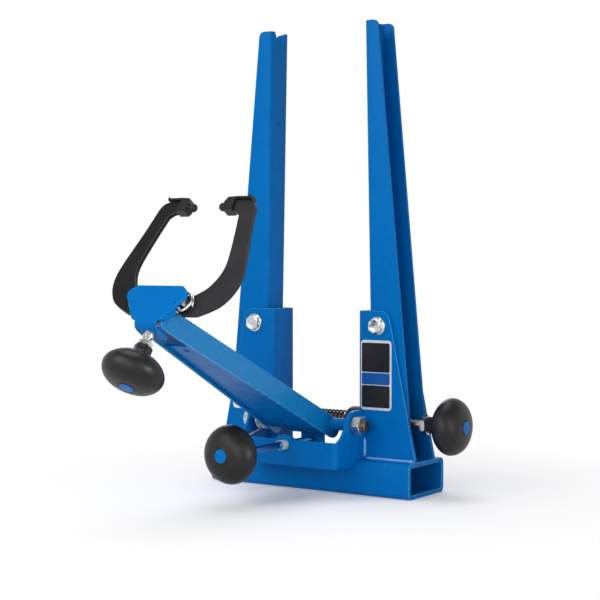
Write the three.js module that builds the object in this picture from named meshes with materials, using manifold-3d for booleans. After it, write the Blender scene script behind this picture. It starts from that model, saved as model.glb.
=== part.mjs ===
// A bench stand for truing bicycle wheels, in millimetres, +Z up.
// The origin is the middle of the base tube's bottom face, the wheel's axle lies along X,
// and the calliper arm reaches towards -Y.

import * as THREE from 'three';
import { mergeVertices } from 'three/addons/utils/BufferGeometryUtils.js';
import Module from 'manifold-3d';

const wasm = await Module();
wasm.setup();

// Clearances, and how finely round things are divided
const fitGap = 0.3;
const runningGap = 0.5;
const overrun = 20;
const roundSides = 24;
const boreSides = 20;
const boltSides = 14;
const arcSteps = 3;
const knobSides = 30;
const mergeShare = 1e-6;

// Base: a rectangular tube along X
const baseLength = 260;
const baseDepth = 76;
const baseHeight = 38;
const baseWall = 4.8;
const baseCornerRadius = 6;

// Brackets: two channels welded on the base, web towards the wheel
const frameCentreY = 2;
const bracketWidth = 44;
const bracketWall = 4;
const bracketBend = 6;
const bracketHeight = 159;
const bracketWebX = 56;
const bracketFootReach = 71.5;
const bracketHeadReach = 38;
const bracketShoulder = 11;

// Uprights: two tapered channels nested in the brackets
const uprightWidth = 35;
const uprightWall = 3;
const uprightBend = 5;
const uprightTopZ = 508.5;
const uprightBottomZ = 62;
const uprightTopWebX = 61;
const uprightLean = 0.0202;
const uprightTopReach = 16.4;
const uprightFlare = 0.0939;
const uprightTopRadius = 6;
const uprightFootRadius = 5;
const axleNotchWidth = 20.4;
const axleNotchDepth = 22;
const webHoleRadius = 1.9;
const webHoleDrop = 103;

// Pivot of each upright
const uprightPivotX = 80.9;
const uprightPivotDrop = 16.2;
const pivotBoltRadius = 5;
const boltFlangeRadius = 10;
const boltFlangeThickness = 2;
const boltHeadFlats = 15;
const boltHeadHeight = 5;
const pivotNutHeight = 8;
const boltEndReach = 3;

// Spread screw, with a left-hand thread at one end and a right-hand thread at the other
const spreadZ = 75.7;
const spreadRodRadius = 5.65;
const spreadRodLeftX = 113;
const spreadNutX = 98;
const spreadNutRadius = 9;
const spreadJournalRadius = 5;
const spreadJournalRise = 1.7;
const spreadCapRadius = 15.2;
const spreadCapInnerX = 32;
const spreadCapDome = 6.4;
const spreadCapNose = 8.5;
const spreadCapLength = 36;
const spreadLimitDegrees = 4.3;
const jamNutX = 125;
const jamNutFlats = 19;
const jamNutHeight = 6.5;
const spreadKnobX = 131.8;

// Knobs
const knobRadius = 30.4;
const knobLength = 44.5;
const knobNeckRadius = 9.3;
const knobBadgeRadius = 8;
const knobBadgeThickness = 1;
const knobBadgeSeat = 0.7;
const knobSocketDepth = 17;
// Radius and distance from the neck's end, as shares of the knob's radius and length.
const knobProfileShares = [
  [0.306, 0.18], [0.34, 0.222], [0.43, 0.262], [0.55, 0.33], [0.73, 0.42], [0.89, 0.503], [0.965, 0.548],
  [1, 0.604], [0.987, 0.66], [0.94, 0.735], [0.863, 0.81], [0.764, 0.872], [0.643, 0.926], [0.48, 0.972],
  [0.303, 0.998],
];

// Front bracket, which carries the arm's pivot and its screw
const frontPlateY = -78;
const frontWall = 3;
const frontHalfWidth = 65;
const frontBend = 5;
const frontBottomZ = 32;
const frontTopZ = 59.5;
const frontBumpRise = 5.1;
const frontBumpHalfWidth = 14;
const frontBumpTopHalfWidth = 6;
const earRadius = 15.4;
const earFootZ = 86;
const earNeckY = -57;
const earNeckZ = 74.5;
const earNeckRadius = 7;
const earFrontY = -66.5;
const earFrontRise = 3.5;
const frontKneeY = -74;
const baseClearance = 0.4;

// Arm pivot
const armPivotY = -41;
const armPivotZ = 75.2;
const armPivotBoltRadius = 5;
const armPivotFlats = 19;
const armPivotHeadHeight = 8.5;
const armPivotNutHeight = 9.5;
const armPivotCollarRadius = 6.2;
const armPivotCollarHeight = 4.3;
const armPivotBoltEnd = 0.8;
const armPivotWasherThickness = 1.5;
const armPivotWasherRadius = 8.5;
const armTubeRadius = 6.6;

// Arm: two side plates and a web, measured along the arm from its pivot towards the callipers
const armRiseDegrees = 26.35;
const armSideWall = 2.5;
const armSideTop = 7.8;
const armSideBottom = 14.4;
const armPivotHalfWidth = 37.7;
const armTaper = 0.0756;
const armLobeReach = 14.2;
const armLobeRadius = 11;
const armNoseRadius = 6;
const armWebWall = 2.5;
const armWebDrop = 2.1;
const armWebEnd = 231;
const armWebHoleRadius = 3.5;
const armWebFrontHole = 221;
const armWebRearHole = 33;
const armShoulderY = -2.8;
const armShoulderHalfWidth = 30;
const armWingReach = 9;
const armTongueHalfWidth = 15;
const armTongueDrop = 11;
const armTailFaceReach = 17;
const armTailDepth = 28.2;
const armRaiseDegrees = 20;
const armLowerDegrees = 9;

// Arm screw, which pushes the arm's tail
const armScrewZ = 54.2;
const smallRodRadius = 4;
const armBushRadius = 5.4;
const armBushLength = 9;
const armKnobY = -146;
const thrustTipRadius = 3.4;
const thrustTipLength = 5;
const thrustSpigotRadius = 2;
const thrustSpigotLength = 2.5;

// Calliper head: its frame sits on the arm, y up along the legs and z towards the user
const calliperReach = 275.8;
const calliperDrop = 15.4;
const calliperRakeDegrees = 81.65;
const plateFrontZ = 15;
const plateWall = 3;
const plateTopY = 42.3;
const plateTopHalfWidth = 28;
const plateWingHalfWidth = 36;
const plateWingTopY = 35.5;
const plateWingBottomY = 31;
const plateBottomHalfWidth = 17.5;
const plateBottomY = 4.5;
const plateCornerRadius = 4;
const plateFlangeDepth = 5;
const plateFlangeSpans = [2.5, 16];
const plateFlangeInnerStart = 5.5;
const plateBend = 8;
const plateLipHalfWidth = 12.6;
const plateLipReach = 16;
const plateDimpleRadius = 1.5;
const plateDimpleX = 26.5;
const plateDimpleY = 24;
const plateDimpleDepth = 1.2;
const legPivotX = 27;
const legPivotY = 30.5;
const legPinRadius = 4;
const legPinHeadRadius = 6.5;
const legPinHeadHeight = 3;
const legHubRadius = 10.7;
const legTailX = 8;
const legTailRadius = 3;
const legTailDrop = 1;
const legSpread = 76.8;
const legRise = 153;
const legThickness = 5;
const legNoseReach = 8.5;
const legNoseMargin = 2;
const legRoundSteps = 26;
const legCloseDegrees = 7;
const legOpenDegrees = 9.5;
// Outline of a leg, as shares of its spread and rise.
const legOuterShares = [
  [0.542, 0.131], [0.715, 0.171], [0.859, 0.221], [0.968, 0.312], [1, 0.406], [0.975, 0.5], [0.923, 0.61],
  [0.846, 0.763], [0.79, 0.9], [0.762, 0.955], [0.705, 0.99], [0.62, 1],
];
const legInnerShares = [
  [0.5, 0.908], [0.566, 0.885], [0.592, 0.84], [0.633, 0.739], [0.686, 0.588], [0.703, 0.485],
  [0.665, 0.402], [0.577, 0.328], [0.482, 0.29], [0.426, 0.272],
];
const legTopInnerShare = 0.44;
const legTipInnerShare = 0.46;
const legTipBottomShare = 0.912;
const legHeelShare = 0.9;

// Pads clipped on the legs' ends, placed from the leg's inner corner and from its top
const padThickness = 10;
const padInnerReach = 13.828;
const padOuterReach = 19.672;
const padBottomDrop = 17.8;
const padTopRise = 7.5;
const padPegRadius = 4.5;
const padPegReach = 16.528;
const padPegDrop = 6.3;
// Outline of a pad, as shares of its width and height.
const padOutlineShares = [
  [0.1, 0.13], [0.17, 0], [0.52, 0], [0.54, 0.14], [0.41, 0.17], [0.4, 0.73], [0.95, 0.735], [1, 0.79],
  [0.99, 1], [0.81, 0.82], [0.4, 0.83], [0.08, 0.8], [0, 0.58], [0.02, 0.3],
];

// Calliper screw and the slider that it pushes under the legs' tails
const calliperScrewZ = 2;
const sliderHalfWidth = 8.6;
const sliderDepth = 12;
const sliderBottomY = 8;
const sliderBoreDepth = 6;
const calliperBushRadius = 5.6;
const calliperBushTopY = 2;
const calliperBushBottomY = -8.6;
const calliperJamTopY = -12.4;
const calliperJamHeight = 5;
const smallJamFlats = 13;

// Springs: wire, turns and mean radius
const curlSteps = 8;
const wireSides = 5;
const springBendShare = 0.3;
const spreadSpringWire = 2.4;
const spreadSpringRadius = 8.9;
const spreadSpringTurns = 12;
const armSpringWire = 2.6;
const armSpringRadius = 10.7;
const armSpringTurns = 5;
const armSpringOuterX = 59;
const armSpringInnerX = 43;
const armSpringLegDegrees = 15;
const legSpringWire = 2.4;
const legSpringRadius = 10;
const legSpringTurns = 1.75;

// Labels, which are bare. The right one lies between the front bracket's ear and the pivot bolt.
const labelThickness = 0.4;
const labelRadius = 4;
const labelRightX = 79.5;
const labelRightWidth = 38;
const labelEarGap = 4.5;
const labelBoltGap = 5.3;
const labelLeftX = -93.5;
const labelLeftWidth = 36;
const labelLeftHeight = 29;
const labelLeftRise = 44.3;

// Worked out from the sizes above
const bracketFrontY = frameCentreY - bracketWidth / 2;
const bracketRearY = frameCentreY + bracketWidth / 2;
const bracketTopZ = baseHeight + bracketHeight;
const uprightPivotZ = bracketTopZ - uprightPivotDrop;
const uprightHeight = uprightTopZ - uprightBottomZ;
const armRise = THREE.MathUtils.degToRad(armRiseDegrees);
const calliperRake = THREE.MathUtils.degToRad(calliperRakeDegrees);
const armSideAngle = Math.atan(armTaper);
const armWebTop = -(armTubeRadius + armWebDrop);
const plateRearZ = plateFrontZ - plateWall;
const legTipX = legSpread * legTipInnerShare;
const padInnerX = legTipX - padInnerReach;
const padOuterX = legTipX + padOuterReach;
const padPegX = legTipX - padPegReach;
const padBottomY = legRise - padBottomDrop;
const padTopY = legRise + padTopRise;
const padPegY = legRise - padPegDrop;

// Materials
function material(colour, roughness, metalness) {
  return new THREE.MeshStandardMaterial({ color: colour, roughness, metalness });
}
const bluePaint = () => material(0x0a63b0, 0.35, 0.1);
const blackPaint = () => material(0x2c2c2e, 0.5, 0.1);
const blackPlastic = () => material(0x303033, 0.55, 0);
const brightSteel = () => material(0xc9ccd0, 0.3, 1);
const rodSteel = () => material(0x8f8780, 0.4, 1);
const springSteel = () => material(0xd4d6d2, 0.35, 1);
const badgeBlue = () => material(0x1466b8, 0.3, 0);
const labelVinyl = () => material(0xd8dade, 0.4, 0);

// The scene graph
const stand = new THREE.Group();
const rightSide = new THREE.Group();
const leftSide = new THREE.Group();
const arm = new THREE.Group();
const calliper = new THREE.Group();
rightSide.position.set(0, frameCentreY, 0);
leftSide.position.set(0, frameCentreY, 0);
leftSide.rotation.z = Math.PI;
arm.position.set(0, armPivotY, armPivotZ);
arm.rotation.x = -armRise;
calliper.position.set(0, -calliperReach, -calliperDrop);
calliper.rotation.x = calliperRake;
stand.add(rightSide, leftSide, arm);
arm.add(calliper);

// Closed geometry with shared corners and no empty triangles.
function sealed(geometry) {
  const bare = new THREE.BufferGeometry();
  bare.setAttribute('position', geometry.getAttribute('position').clone());
  if (geometry.index) bare.setIndex(geometry.index.clone());
  bare.computeBoundingSphere();
  const merged = mergeVertices(bare, bare.boundingSphere.radius * mergeShare);
  const corners = merged.index.array;
  const kept = [];
  for (let i = 0; i < corners.length; i += 3) {
    const [a, b, c] = [corners[i], corners[i + 1], corners[i + 2]];
    if (a !== b && b !== c && c !== a) kept.push(a, b, c);
  }
  merged.setIndex(kept);
  return merged;
}

function toSolid(geometry) {
  const closed = sealed(geometry);
  return new wasm.Manifold(new wasm.Mesh({
    numProp: 3,
    vertProperties: new Float32Array(closed.getAttribute('position').array),
    triVerts: new Uint32Array(closed.index.array),
  }));
}

function toGeometry(solid) {
  const mesh = solid.getMesh();
  const geometry = new THREE.BufferGeometry();
  geometry.setAttribute('position', new THREE.BufferAttribute(mesh.vertProperties, 3));
  geometry.setIndex(new THREE.BufferAttribute(mesh.triVerts, 1));
  return geometry;
}

function join(...geometries) {
  return toGeometry(geometries.map(toSolid).reduce((whole, next) => whole.add(next)));
}

function cut(geometry, ...tools) {
  return toGeometry(tools.map(toSolid).reduce((whole, tool) => whole.subtract(tool), toSolid(geometry)));
}

function common(...geometries) {
  return toGeometry(geometries.map(toSolid).reduce((whole, next) => whole.intersect(next)));
}

function addPiece(group, name, geometry, finish) {
  const mesh = new THREE.Mesh(sealed(geometry), finish);
  mesh.name = name;
  group.add(mesh);
  return mesh;
}

// A polygon whose corners [x, y, radius] are rounded by their radius.
function outline(corners) {
  const points = [];
  corners.forEach(([x, y, radius = 0], i) => {
    const corner = new THREE.Vector2(x, y);
    const before = corners.at(i - 1);
    const after = corners[(i + 1) % corners.length];
    const back = new THREE.Vector2(before[0], before[1]).sub(corner).normalize();
    const onward = new THREE.Vector2(after[0], after[1]).sub(corner).normalize();
    const half = Math.acos(THREE.MathUtils.clamp(back.dot(onward), -1, 1)) / 2;
    if (radius === 0) {
      points.push(corner);
      return;
    }
    const reach = radius / Math.tan(half);
    const start = corner.clone().addScaledVector(back, reach);
    const end = corner.clone().addScaledVector(onward, reach);
    const middle = back.clone().add(onward).normalize();
    const centre = corner.clone().addScaledVector(middle, radius / Math.sin(half));
    const from = Math.atan2(start.y - centre.y, start.x - centre.x);
    const to = Math.atan2(end.y - centre.y, end.x - centre.x);
    const sweep = Math.atan2(Math.sin(to - from), Math.cos(to - from));
    const steps = Math.max(1, Math.round(Math.abs(sweep) / (Math.PI / 2) * arcSteps));
    for (let step = 0; step <= steps; step += 1) {
      const angle = from + sweep * step / steps;
      points.push(new THREE.Vector2(
        centre.x + radius * Math.cos(angle),
        centre.y + radius * Math.sin(angle),
      ));
    }
  });
  return new THREE.Shape(points);
}

// One half of a symmetric outline, from bottom to top on +x, and its mirror image.
function bothHalves(corners) {
  const mirrored = corners.map(([x, y, radius]) => [-x, y, radius]).reverse();
  return outline([...corners, ...mirrored]);
}

const planes = {
  xy: [new THREE.Vector3(1, 0, 0), new THREE.Vector3(0, 1, 0), new THREE.Vector3(0, 0, 1)],
  yz: [new THREE.Vector3(0, 1, 0), new THREE.Vector3(0, 0, 1), new THREE.Vector3(1, 0, 0)],
  xz: [new THREE.Vector3(1, 0, 0), new THREE.Vector3(0, 0, 1), new THREE.Vector3(0, -1, 0)],
};

// A shape drawn in a plane and pushed from one level to another on the remaining axis.
function slab(shape, plane, from, to) {
  const geometry = new THREE.ExtrudeGeometry(shape, { depth: to - from, bevelEnabled: false });
  geometry.applyMatrix4(new THREE.Matrix4().makeBasis(...planes[plane]));
  const shift = planes[plane][2].clone().multiplyScalar(plane === 'xz' ? -to : from);
  return geometry.translate(shift.x, shift.y, shift.z);
}

function block(fromX, toX, fromY, toY, fromZ, toZ) {
  const box = new THREE.BoxGeometry(toX - fromX, toY - fromY, toZ - fromZ);
  return box.translate((fromX + toX) / 2, (fromY + toY) / 2, (fromZ + toZ) / 2);
}

// A round, or many-sided, bar along an axis, between two levels on it.
function bar(axis, radius, from, to, sides, at = [0, 0], turn = 0) {
  const geometry = new THREE.CylinderGeometry(radius, radius, to - from, sides, 1, false, turn);
  const middle = (from + to) / 2;
  if (axis === 'x') return geometry.rotateZ(-Math.PI / 2).translate(middle, at[0], at[1]);
  if (axis === 'y') return geometry.translate(at[0], middle, at[1]);
  return geometry.rotateX(Math.PI / 2).translate(at[0], at[1], middle);
}

function hexBar(axis, flats, from, to, at, turn = 0) {
  return bar(axis, flats / Math.sqrt(3), from, to, 6, at, turn);
}

// A solid of revolution about an axis, from [radius, distance] points that start and end on it.
function turned(axis, points, sides, at = [0, 0]) {
  const geometry = new THREE.LatheGeometry(points.map(([r, d]) => new THREE.Vector2(r, d)), sides);
  if (axis === 'x') return geometry.rotateZ(-Math.PI / 2).translate(0, at[0], at[1]);
  if (axis === 'y') return geometry.translate(at[0], 0, at[1]);
  return geometry.rotateX(Math.PI / 2).translate(at[0], at[1], 0);
}

// A channel section: web at x = 0, flanges towards +x, centred on y.
function channelShape(reach, width, wall, bend) {
  const half = width / 2;
  const inner = half - wall;
  const innerBend = bend - wall;
  return outline([
    [reach, -half], [0, -half, bend], [0, half, bend], [reach, half],
    [reach, inner], [wall, inner, innerBend], [wall, -inner, innerBend], [reach, -inner],
  ]);
}

// Wound wire: a helix about local z whose ends turn straight along the given directions.
function windWire(name, { wire, radius, turns, from, to, startAngle = 0, before = [], after = [] }) {
  const centres = [];
  const normals = [];
  const steps = Math.round(turns * curlSteps);
  for (let step = 0; step <= steps; step += 1) {
    const angle = startAngle + 2 * Math.PI * turns * step / steps;
    const outward = new THREE.Vector3(Math.cos(angle), Math.sin(angle), 0);
    normals.push(outward);
    centres.push(outward.clone().multiplyScalar(radius).setZ(THREE.MathUtils.lerp(from, to, step / steps)));
  }
  console.log(`${name}: least gap to itself ${leastGap(centres, wire).toFixed(2)} mm`);
  const path = [...before, ...centres, ...after];
  const sides = [...before.map(() => normals[0]), ...normals, ...after.map(() => normals.at(-1))];
  return tube(path, sides, wire / 2);
}

// Least distance between turns of a wound wire, less the wire itself.
function leastGap(centres, wire) {
  let least = Infinity;
  const apart = Math.round(curlSteps * 0.75);
  for (let i = 0; i < centres.length; i += 1) {
    for (let j = i + apart; j < centres.length; j += 1) {
      least = Math.min(least, centres[i].distanceTo(centres[j]));
    }
  }
  return least - wire;
}

// One unbroken tube through the given centres, with a ring of corners at each.
function tube(path, sideways, radius) {
  const positions = [];
  const index = [];
  path.forEach((centre, i) => {
    const last = path.length - 1;
    const forward = path[Math.min(i + 1, last)].clone().sub(path[Math.max(i - 1, 0)]).normalize();
    const across = sideways[i].clone();
    across.addScaledVector(forward, -across.dot(forward)).normalize();
    const up = new THREE.Vector3().crossVectors(forward, across);
    for (let side = 0; side < wireSides; side += 1) {
      const angle = 2 * Math.PI * side / wireSides;
      const corner = centre.clone();
      corner.addScaledVector(across, radius * Math.cos(angle)).addScaledVector(up, radius * Math.sin(angle));
      positions.push(corner.x, corner.y, corner.z);
    }
  });
  for (let i = 0; i < path.length - 1; i += 1) {
    for (let side = 0; side < wireSides; side += 1) {
      const a = i * wireSides + side;
      const b = i * wireSides + (side + 1) % wireSides;
      index.push(a, b, a + wireSides, b, b + wireSides, a + wireSides);
    }
  }
  const end = (path.length - 1) * wireSides;
  for (let side = 1; side < wireSides - 1; side += 1) {
    index.push(0, side + 1, side, end, end + side, end + side + 1);
  }
  const geometry = new THREE.BufferGeometry();
  geometry.setAttribute('position', new THREE.Float32BufferAttribute(positions, 3));
  geometry.setIndex(index);
  return geometry;
}

// A spring between two flat seats: its wire's ends turn square to them.
function seatedSpring(name, { wire, radius, turns, fromSeat, toSeat, startAngle = 0 }) {
  const from = fromSeat + fitGap + wire * (1 + springBendShare);
  const to = toSeat - fitGap - wire * (1 + springBendShare);
  const endAngle = startAngle + 2 * Math.PI * turns;
  const at = (angle, z) => new THREE.Vector3(radius * Math.cos(angle), radius * Math.sin(angle), z);
  const bend = wire / radius;
  return windWire(name, {
    wire, radius, turns, from, to, startAngle,
    before: [at(startAngle - bend, fromSeat + fitGap), at(startAngle - bend, fromSeat + fitGap + wire)],
    after: [at(endAngle + bend, toSeat - fitGap - wire), at(endAngle + bend, toSeat - fitGap)],
  });
}

// Base
function baseTube() {
  const halfDepth = baseDepth / 2;
  const outer = outline([
    [-halfDepth, 0, baseCornerRadius], [halfDepth, 0, baseCornerRadius],
    [halfDepth, baseHeight, baseCornerRadius], [-halfDepth, baseHeight, baseCornerRadius],
  ]);
  const innerRadius = baseCornerRadius - baseWall;
  const inside = halfDepth - baseWall;
  const inner = outline([
    [-inside, baseWall, innerRadius], [inside, baseWall, innerRadius],
    [inside, baseHeight - baseWall, innerRadius], [-inside, baseHeight - baseWall, innerRadius],
  ]);
  const half = baseLength / 2;
  return cut(slab(outer, 'yz', -half, half), slab(inner, 'yz', -half - overrun, half + overrun));
}
addPiece(stand, 'base_tube', baseTube(), bluePaint());

// Brackets
function bracket() {
  const channel = slab(
    channelShape(bracketFootReach + overrun, bracketWidth, bracketWall, bracketBend),
    'xy', baseHeight, bracketTopZ,
  ).translate(bracketWebX, 0, 0);
  const side = outline([
    [bracketWebX - overrun, baseHeight], [bracketWebX + bracketFootReach, baseHeight],
    [bracketWebX + bracketHeadReach, bracketTopZ, bracketShoulder], [bracketWebX - overrun, bracketTopZ],
  ]);
  const half = bracketWidth / 2 + overrun;
  const pivotHole = bar('y', pivotBoltRadius + fitGap, -half, half, boreSides, [uprightPivotX, uprightPivotZ]);
  const capHole = bar(
    'x', spreadCapRadius + runningGap, bracketWebX - overrun, bracketWebX + bracketWall + fitGap,
    roundSides, [0, spreadZ],
  );
  return cut(common(channel, slab(side, 'xz', -half, half)), pivotHole, capHole);
}

// Uprights
const uprightWebAt = (z) => uprightTopWebX + uprightLean * (uprightTopZ - z);
const uprightEdgeAt = (z) => uprightTopWebX + uprightTopReach + uprightFlare * (uprightTopZ - z);

function upright() {
  const lean = Math.atan(uprightLean);
  const reach = uprightEdgeAt(uprightBottomZ) - uprightTopWebX;
  const channel = slab(
    channelShape(reach, uprightWidth, uprightWall, uprightBend), 'xy', -uprightHeight - overrun, overrun,
  ).rotateY(-lean).translate(uprightTopWebX, 0, uprightTopZ);
  const side = outline([
    [uprightWebAt(uprightBottomZ) - overrun, uprightBottomZ],
    [uprightEdgeAt(uprightBottomZ), uprightBottomZ, uprightFootRadius],
    [uprightEdgeAt(uprightTopZ), uprightTopZ, uprightTopRadius],
    [uprightTopWebX - overrun, uprightTopZ],
  ]);
  const half = uprightWidth / 2 + overrun;
  const notch = outline([
    [-axleNotchWidth / 2, uprightTopZ + runningGap], [0, uprightTopZ - axleNotchDepth, runningGap],
    [axleNotchWidth / 2, uprightTopZ + runningGap],
  ]);
  const webCut = [uprightTopWebX - overrun, uprightWebAt(uprightBottomZ) + uprightWall + fitGap];
  const slotHalfWidth = spreadJournalRadius + fitGap;
  const slotHalfHeight = spreadJournalRadius + spreadJournalRise;
  const journalSlot = outline([[-1, -1], [1, -1], [1, 1], [-1, 1]].map(([across, up]) => [
    spreadNutX + across * slotHalfWidth, spreadZ + up * slotHalfHeight, spreadJournalRadius,
  ]));
  return cut(
    common(channel, slab(side, 'xz', -half, half)),
    slab(notch, 'yz', ...webCut),
    slab(journalSlot, 'xz', -half, half),
    bar('y', pivotBoltRadius + fitGap, -half, half, boreSides, [uprightPivotX, uprightPivotZ]),
    bar('x', webHoleRadius, ...webCut, boltSides, [0, uprightTopZ - webHoleDrop]),
    bar('x', spreadRodRadius + spreadJournalRise, ...webCut, boreSides, [0, spreadZ]),
  );
}

// The cap that carries the spring's push to the upright: a domed nose and a bore for the rod.
function spreadCap() {
  const end = spreadCapInnerX + spreadCapLength;
  const bore = spreadRodRadius + runningGap;
  const shoulder = end - spreadCapDome;
  const points = [[bore, spreadCapInnerX], [spreadCapRadius, spreadCapInnerX], [spreadCapRadius, shoulder]];
  for (let step = 1; step <= arcSteps; step += 1) {
    const angle = Math.PI / 2 * step / arcSteps;
    points.push([
      spreadCapNose + (spreadCapRadius - spreadCapNose) * Math.cos(angle),
      shoulder + spreadCapDome * Math.sin(angle),
    ]);
  }
  points.push([bore, end], [bore, spreadCapInnerX]);
  return turned('x', points, roundSides, [0, spreadZ]);
}

// The nut between an upright's flanges, with a journal in each.
function spreadNut() {
  const inside = uprightWidth / 2 - uprightWall - fitGap;
  const half = uprightWidth / 2;
  const body = join(
    bar('y', spreadNutRadius, -inside, inside, boreSides, [spreadNutX, spreadZ]),
    bar('y', spreadJournalRadius - fitGap, -half, half, boltSides, [spreadNutX, spreadZ]),
  );
  const from = spreadNutX - spreadNutRadius - overrun;
  return cut(body, bar('x', spreadRodRadius + fitGap, from, spreadNutX + overrun, boreSides, [0, spreadZ]));
}

for (const [side, word] of [[rightSide, 'right'], [leftSide, 'left']]) {
  addPiece(side, `bracket_${word}`, bracket(), bluePaint());
  addPiece(side, `upright_${word}`, upright(), bluePaint());
  addPiece(side, `spring_cap_${word}`, spreadCap(), blackPlastic());
  addPiece(side, `spread_nut_${word}`, spreadNut(), rodSteel());
}

// Pivot bolts of the uprights and their nuts
function pivotBolt(x) {
  const at = [x, uprightPivotZ];
  const head = bracketFrontY - boltFlangeThickness;
  return join(
    bar('y', boltFlangeRadius, head, bracketFrontY, roundSides, at),
    hexBar('y', boltHeadFlats, head - boltHeadHeight, head, at),
    bar('y', pivotBoltRadius, head, bracketRearY + pivotNutHeight + boltEndReach, boreSides, at),
  );
}

function pivotNut(x) {
  const at = [x, uprightPivotZ];
  const flangeEnd = bracketRearY + boltFlangeThickness;
  const nut = join(
    bar('y', boltFlangeRadius, bracketRearY, flangeEnd, roundSides, at),
    hexBar('y', boltHeadFlats, flangeEnd, bracketRearY + pivotNutHeight, at),
  );
  const bore = pivotBoltRadius + fitGap / 2;
  return cut(nut, bar('y', bore, bracketRearY - overrun, bracketRearY + overrun, boreSides, at));
}
for (const [x, word] of [[uprightPivotX, 'right'], [-uprightPivotX, 'left']]) {
  addPiece(stand, `upright_bolt_${word}`, pivotBolt(x), brightSteel());
  addPiece(stand, `upright_nut_${word}`, pivotNut(x), brightSteel());
}

// Knobs: the neck starts at zero and the knob lies on the positive side of its axis
function knob(rodRadius) {
  const points = [[0, 0], [knobNeckRadius, 0]];
  for (const [radiusShare, lengthShare] of knobProfileShares) {
    points.push([knobRadius * radiusShare, knobLength * lengthShare]);
  }
  points.push([0, knobLength * knobProfileShares.at(-1)[1]]);
  const solidKnob = turned('z', points, knobSides);
  const face = knobLength * knobProfileShares.at(-1)[1];
  return cut(
    solidKnob,
    bar('z', rodRadius + fitGap / 2, -overrun, knobSocketDepth, boreSides),
    bar('z', knobBadgeRadius + fitGap, face - knobBadgeSeat, face + overrun, roundSides),
  );
}

function badge() {
  const seat = knobLength * knobProfileShares.at(-1)[1] - knobBadgeSeat + fitGap / 2;
  return bar('z', knobBadgeRadius, seat, seat + knobBadgeThickness, roundSides);
}

function addKnob(group, words, rodRadius, position, turn) {
  const holder = new THREE.Group();
  holder.position.set(...position);
  holder.rotation.set(...turn);
  group.add(holder);
  addPiece(holder, `${words}_knob`, knob(rodRadius), blackPlastic());
  addPiece(holder, `${words}_badge`, badge(), badgeBlue());
}

// Spread screw
const spreadAt = [frameCentreY, spreadZ];
addPiece(
  stand, 'spread_rod',
  bar('x', spreadRodRadius, -spreadRodLeftX, spreadKnobX + knobSocketDepth - fitGap, boreSides, spreadAt),
  rodSteel(),
);
addPiece(
  stand, 'spread_jam_nut',
  cut(
    hexBar('x', jamNutFlats, jamNutX, jamNutX + jamNutHeight, spreadAt),
    bar('x', spreadRodRadius + fitGap / 2, jamNutX - overrun, jamNutX + overrun, boreSides, spreadAt),
  ),
  brightSteel(),
);
addKnob(stand, 'spread', spreadRodRadius, [spreadKnobX, frameCentreY, spreadZ], [0, Math.PI / 2, 0]);

const spreadSpring = seatedSpring('spread_spring', {
  wire: spreadSpringWire, radius: spreadSpringRadius, turns: spreadSpringTurns,
  fromSeat: -spreadCapInnerX, toSeat: spreadCapInnerX,
});
spreadSpring.rotateY(Math.PI / 2).translate(0, frameCentreY, spreadZ);
addPiece(stand, 'spread_spring', spreadSpring, blackPaint());

// Front bracket
function frontBracket() {
  const depth = bracketFrontY - frontPlateY;
  const wrap = slab(
    channelShape(depth, 2 * frontHalfWidth, frontWall, frontBend), 'xy', 0, earFootZ + overrun,
  ).rotateZ(Math.PI / 2).translate(0, frontPlateY, 0);
  const earTopZ = armPivotZ + earRadius;
  const side = outline([
    [frontPlateY - overrun, frontBottomZ],
    [-baseDepth / 2 - baseClearance, frontBottomZ],
    [-baseDepth / 2 - baseClearance, baseHeight + baseClearance],
    [bracketFrontY, baseHeight + baseClearance],
    [bracketFrontY, earFootZ],
    [armPivotY + earRadius, earTopZ, earRadius / 2],
    [armPivotY - earRadius, earTopZ, earRadius],
    [earNeckY, earNeckZ, earNeckRadius],
    [earFrontY, frontTopZ + earFrontRise, earNeckRadius],
    [frontKneeY, frontTopZ],
    [frontPlateY - overrun, frontTopZ],
  ]);
  const reach = frontHalfWidth + overrun;
  const bump = bothHalves([
    [frontBumpHalfWidth, frontTopZ - fitGap], [frontBumpHalfWidth, frontTopZ],
    [frontBumpTopHalfWidth, frontTopZ + frontBumpRise, frontBumpRise / 2],
  ]);
  const body = join(
    common(wrap, slab(side, 'yz', -reach, reach)),
    slab(bump, 'xz', frontPlateY, frontPlateY + frontWall),
  );
  return cut(
    body,
    bar('x', armPivotBoltRadius + fitGap, -reach, reach, boreSides, [armPivotY, armPivotZ]),
    bar('y', armBushRadius + fitGap, frontPlateY - overrun, frontPlateY + overrun, roundSides, [0, armScrewZ]),
  );
}
addPiece(stand, 'front_bracket', frontBracket(), bluePaint());

function threadedBush(axis, radius, rodRadius, from, to, at) {
  return cut(
    bar(axis, radius, from, to, roundSides, at),
    bar(axis, rodRadius + fitGap, from - overrun, to + overrun, boreSides, at),
  );
}
addPiece(
  stand, 'arm_screw_bushing',
  threadedBush(
    'y', armBushRadius, smallRodRadius, frontPlateY - armBushLength, frontPlateY + frontWall, [0, armScrewZ],
  ),
  brightSteel(),
);

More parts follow.
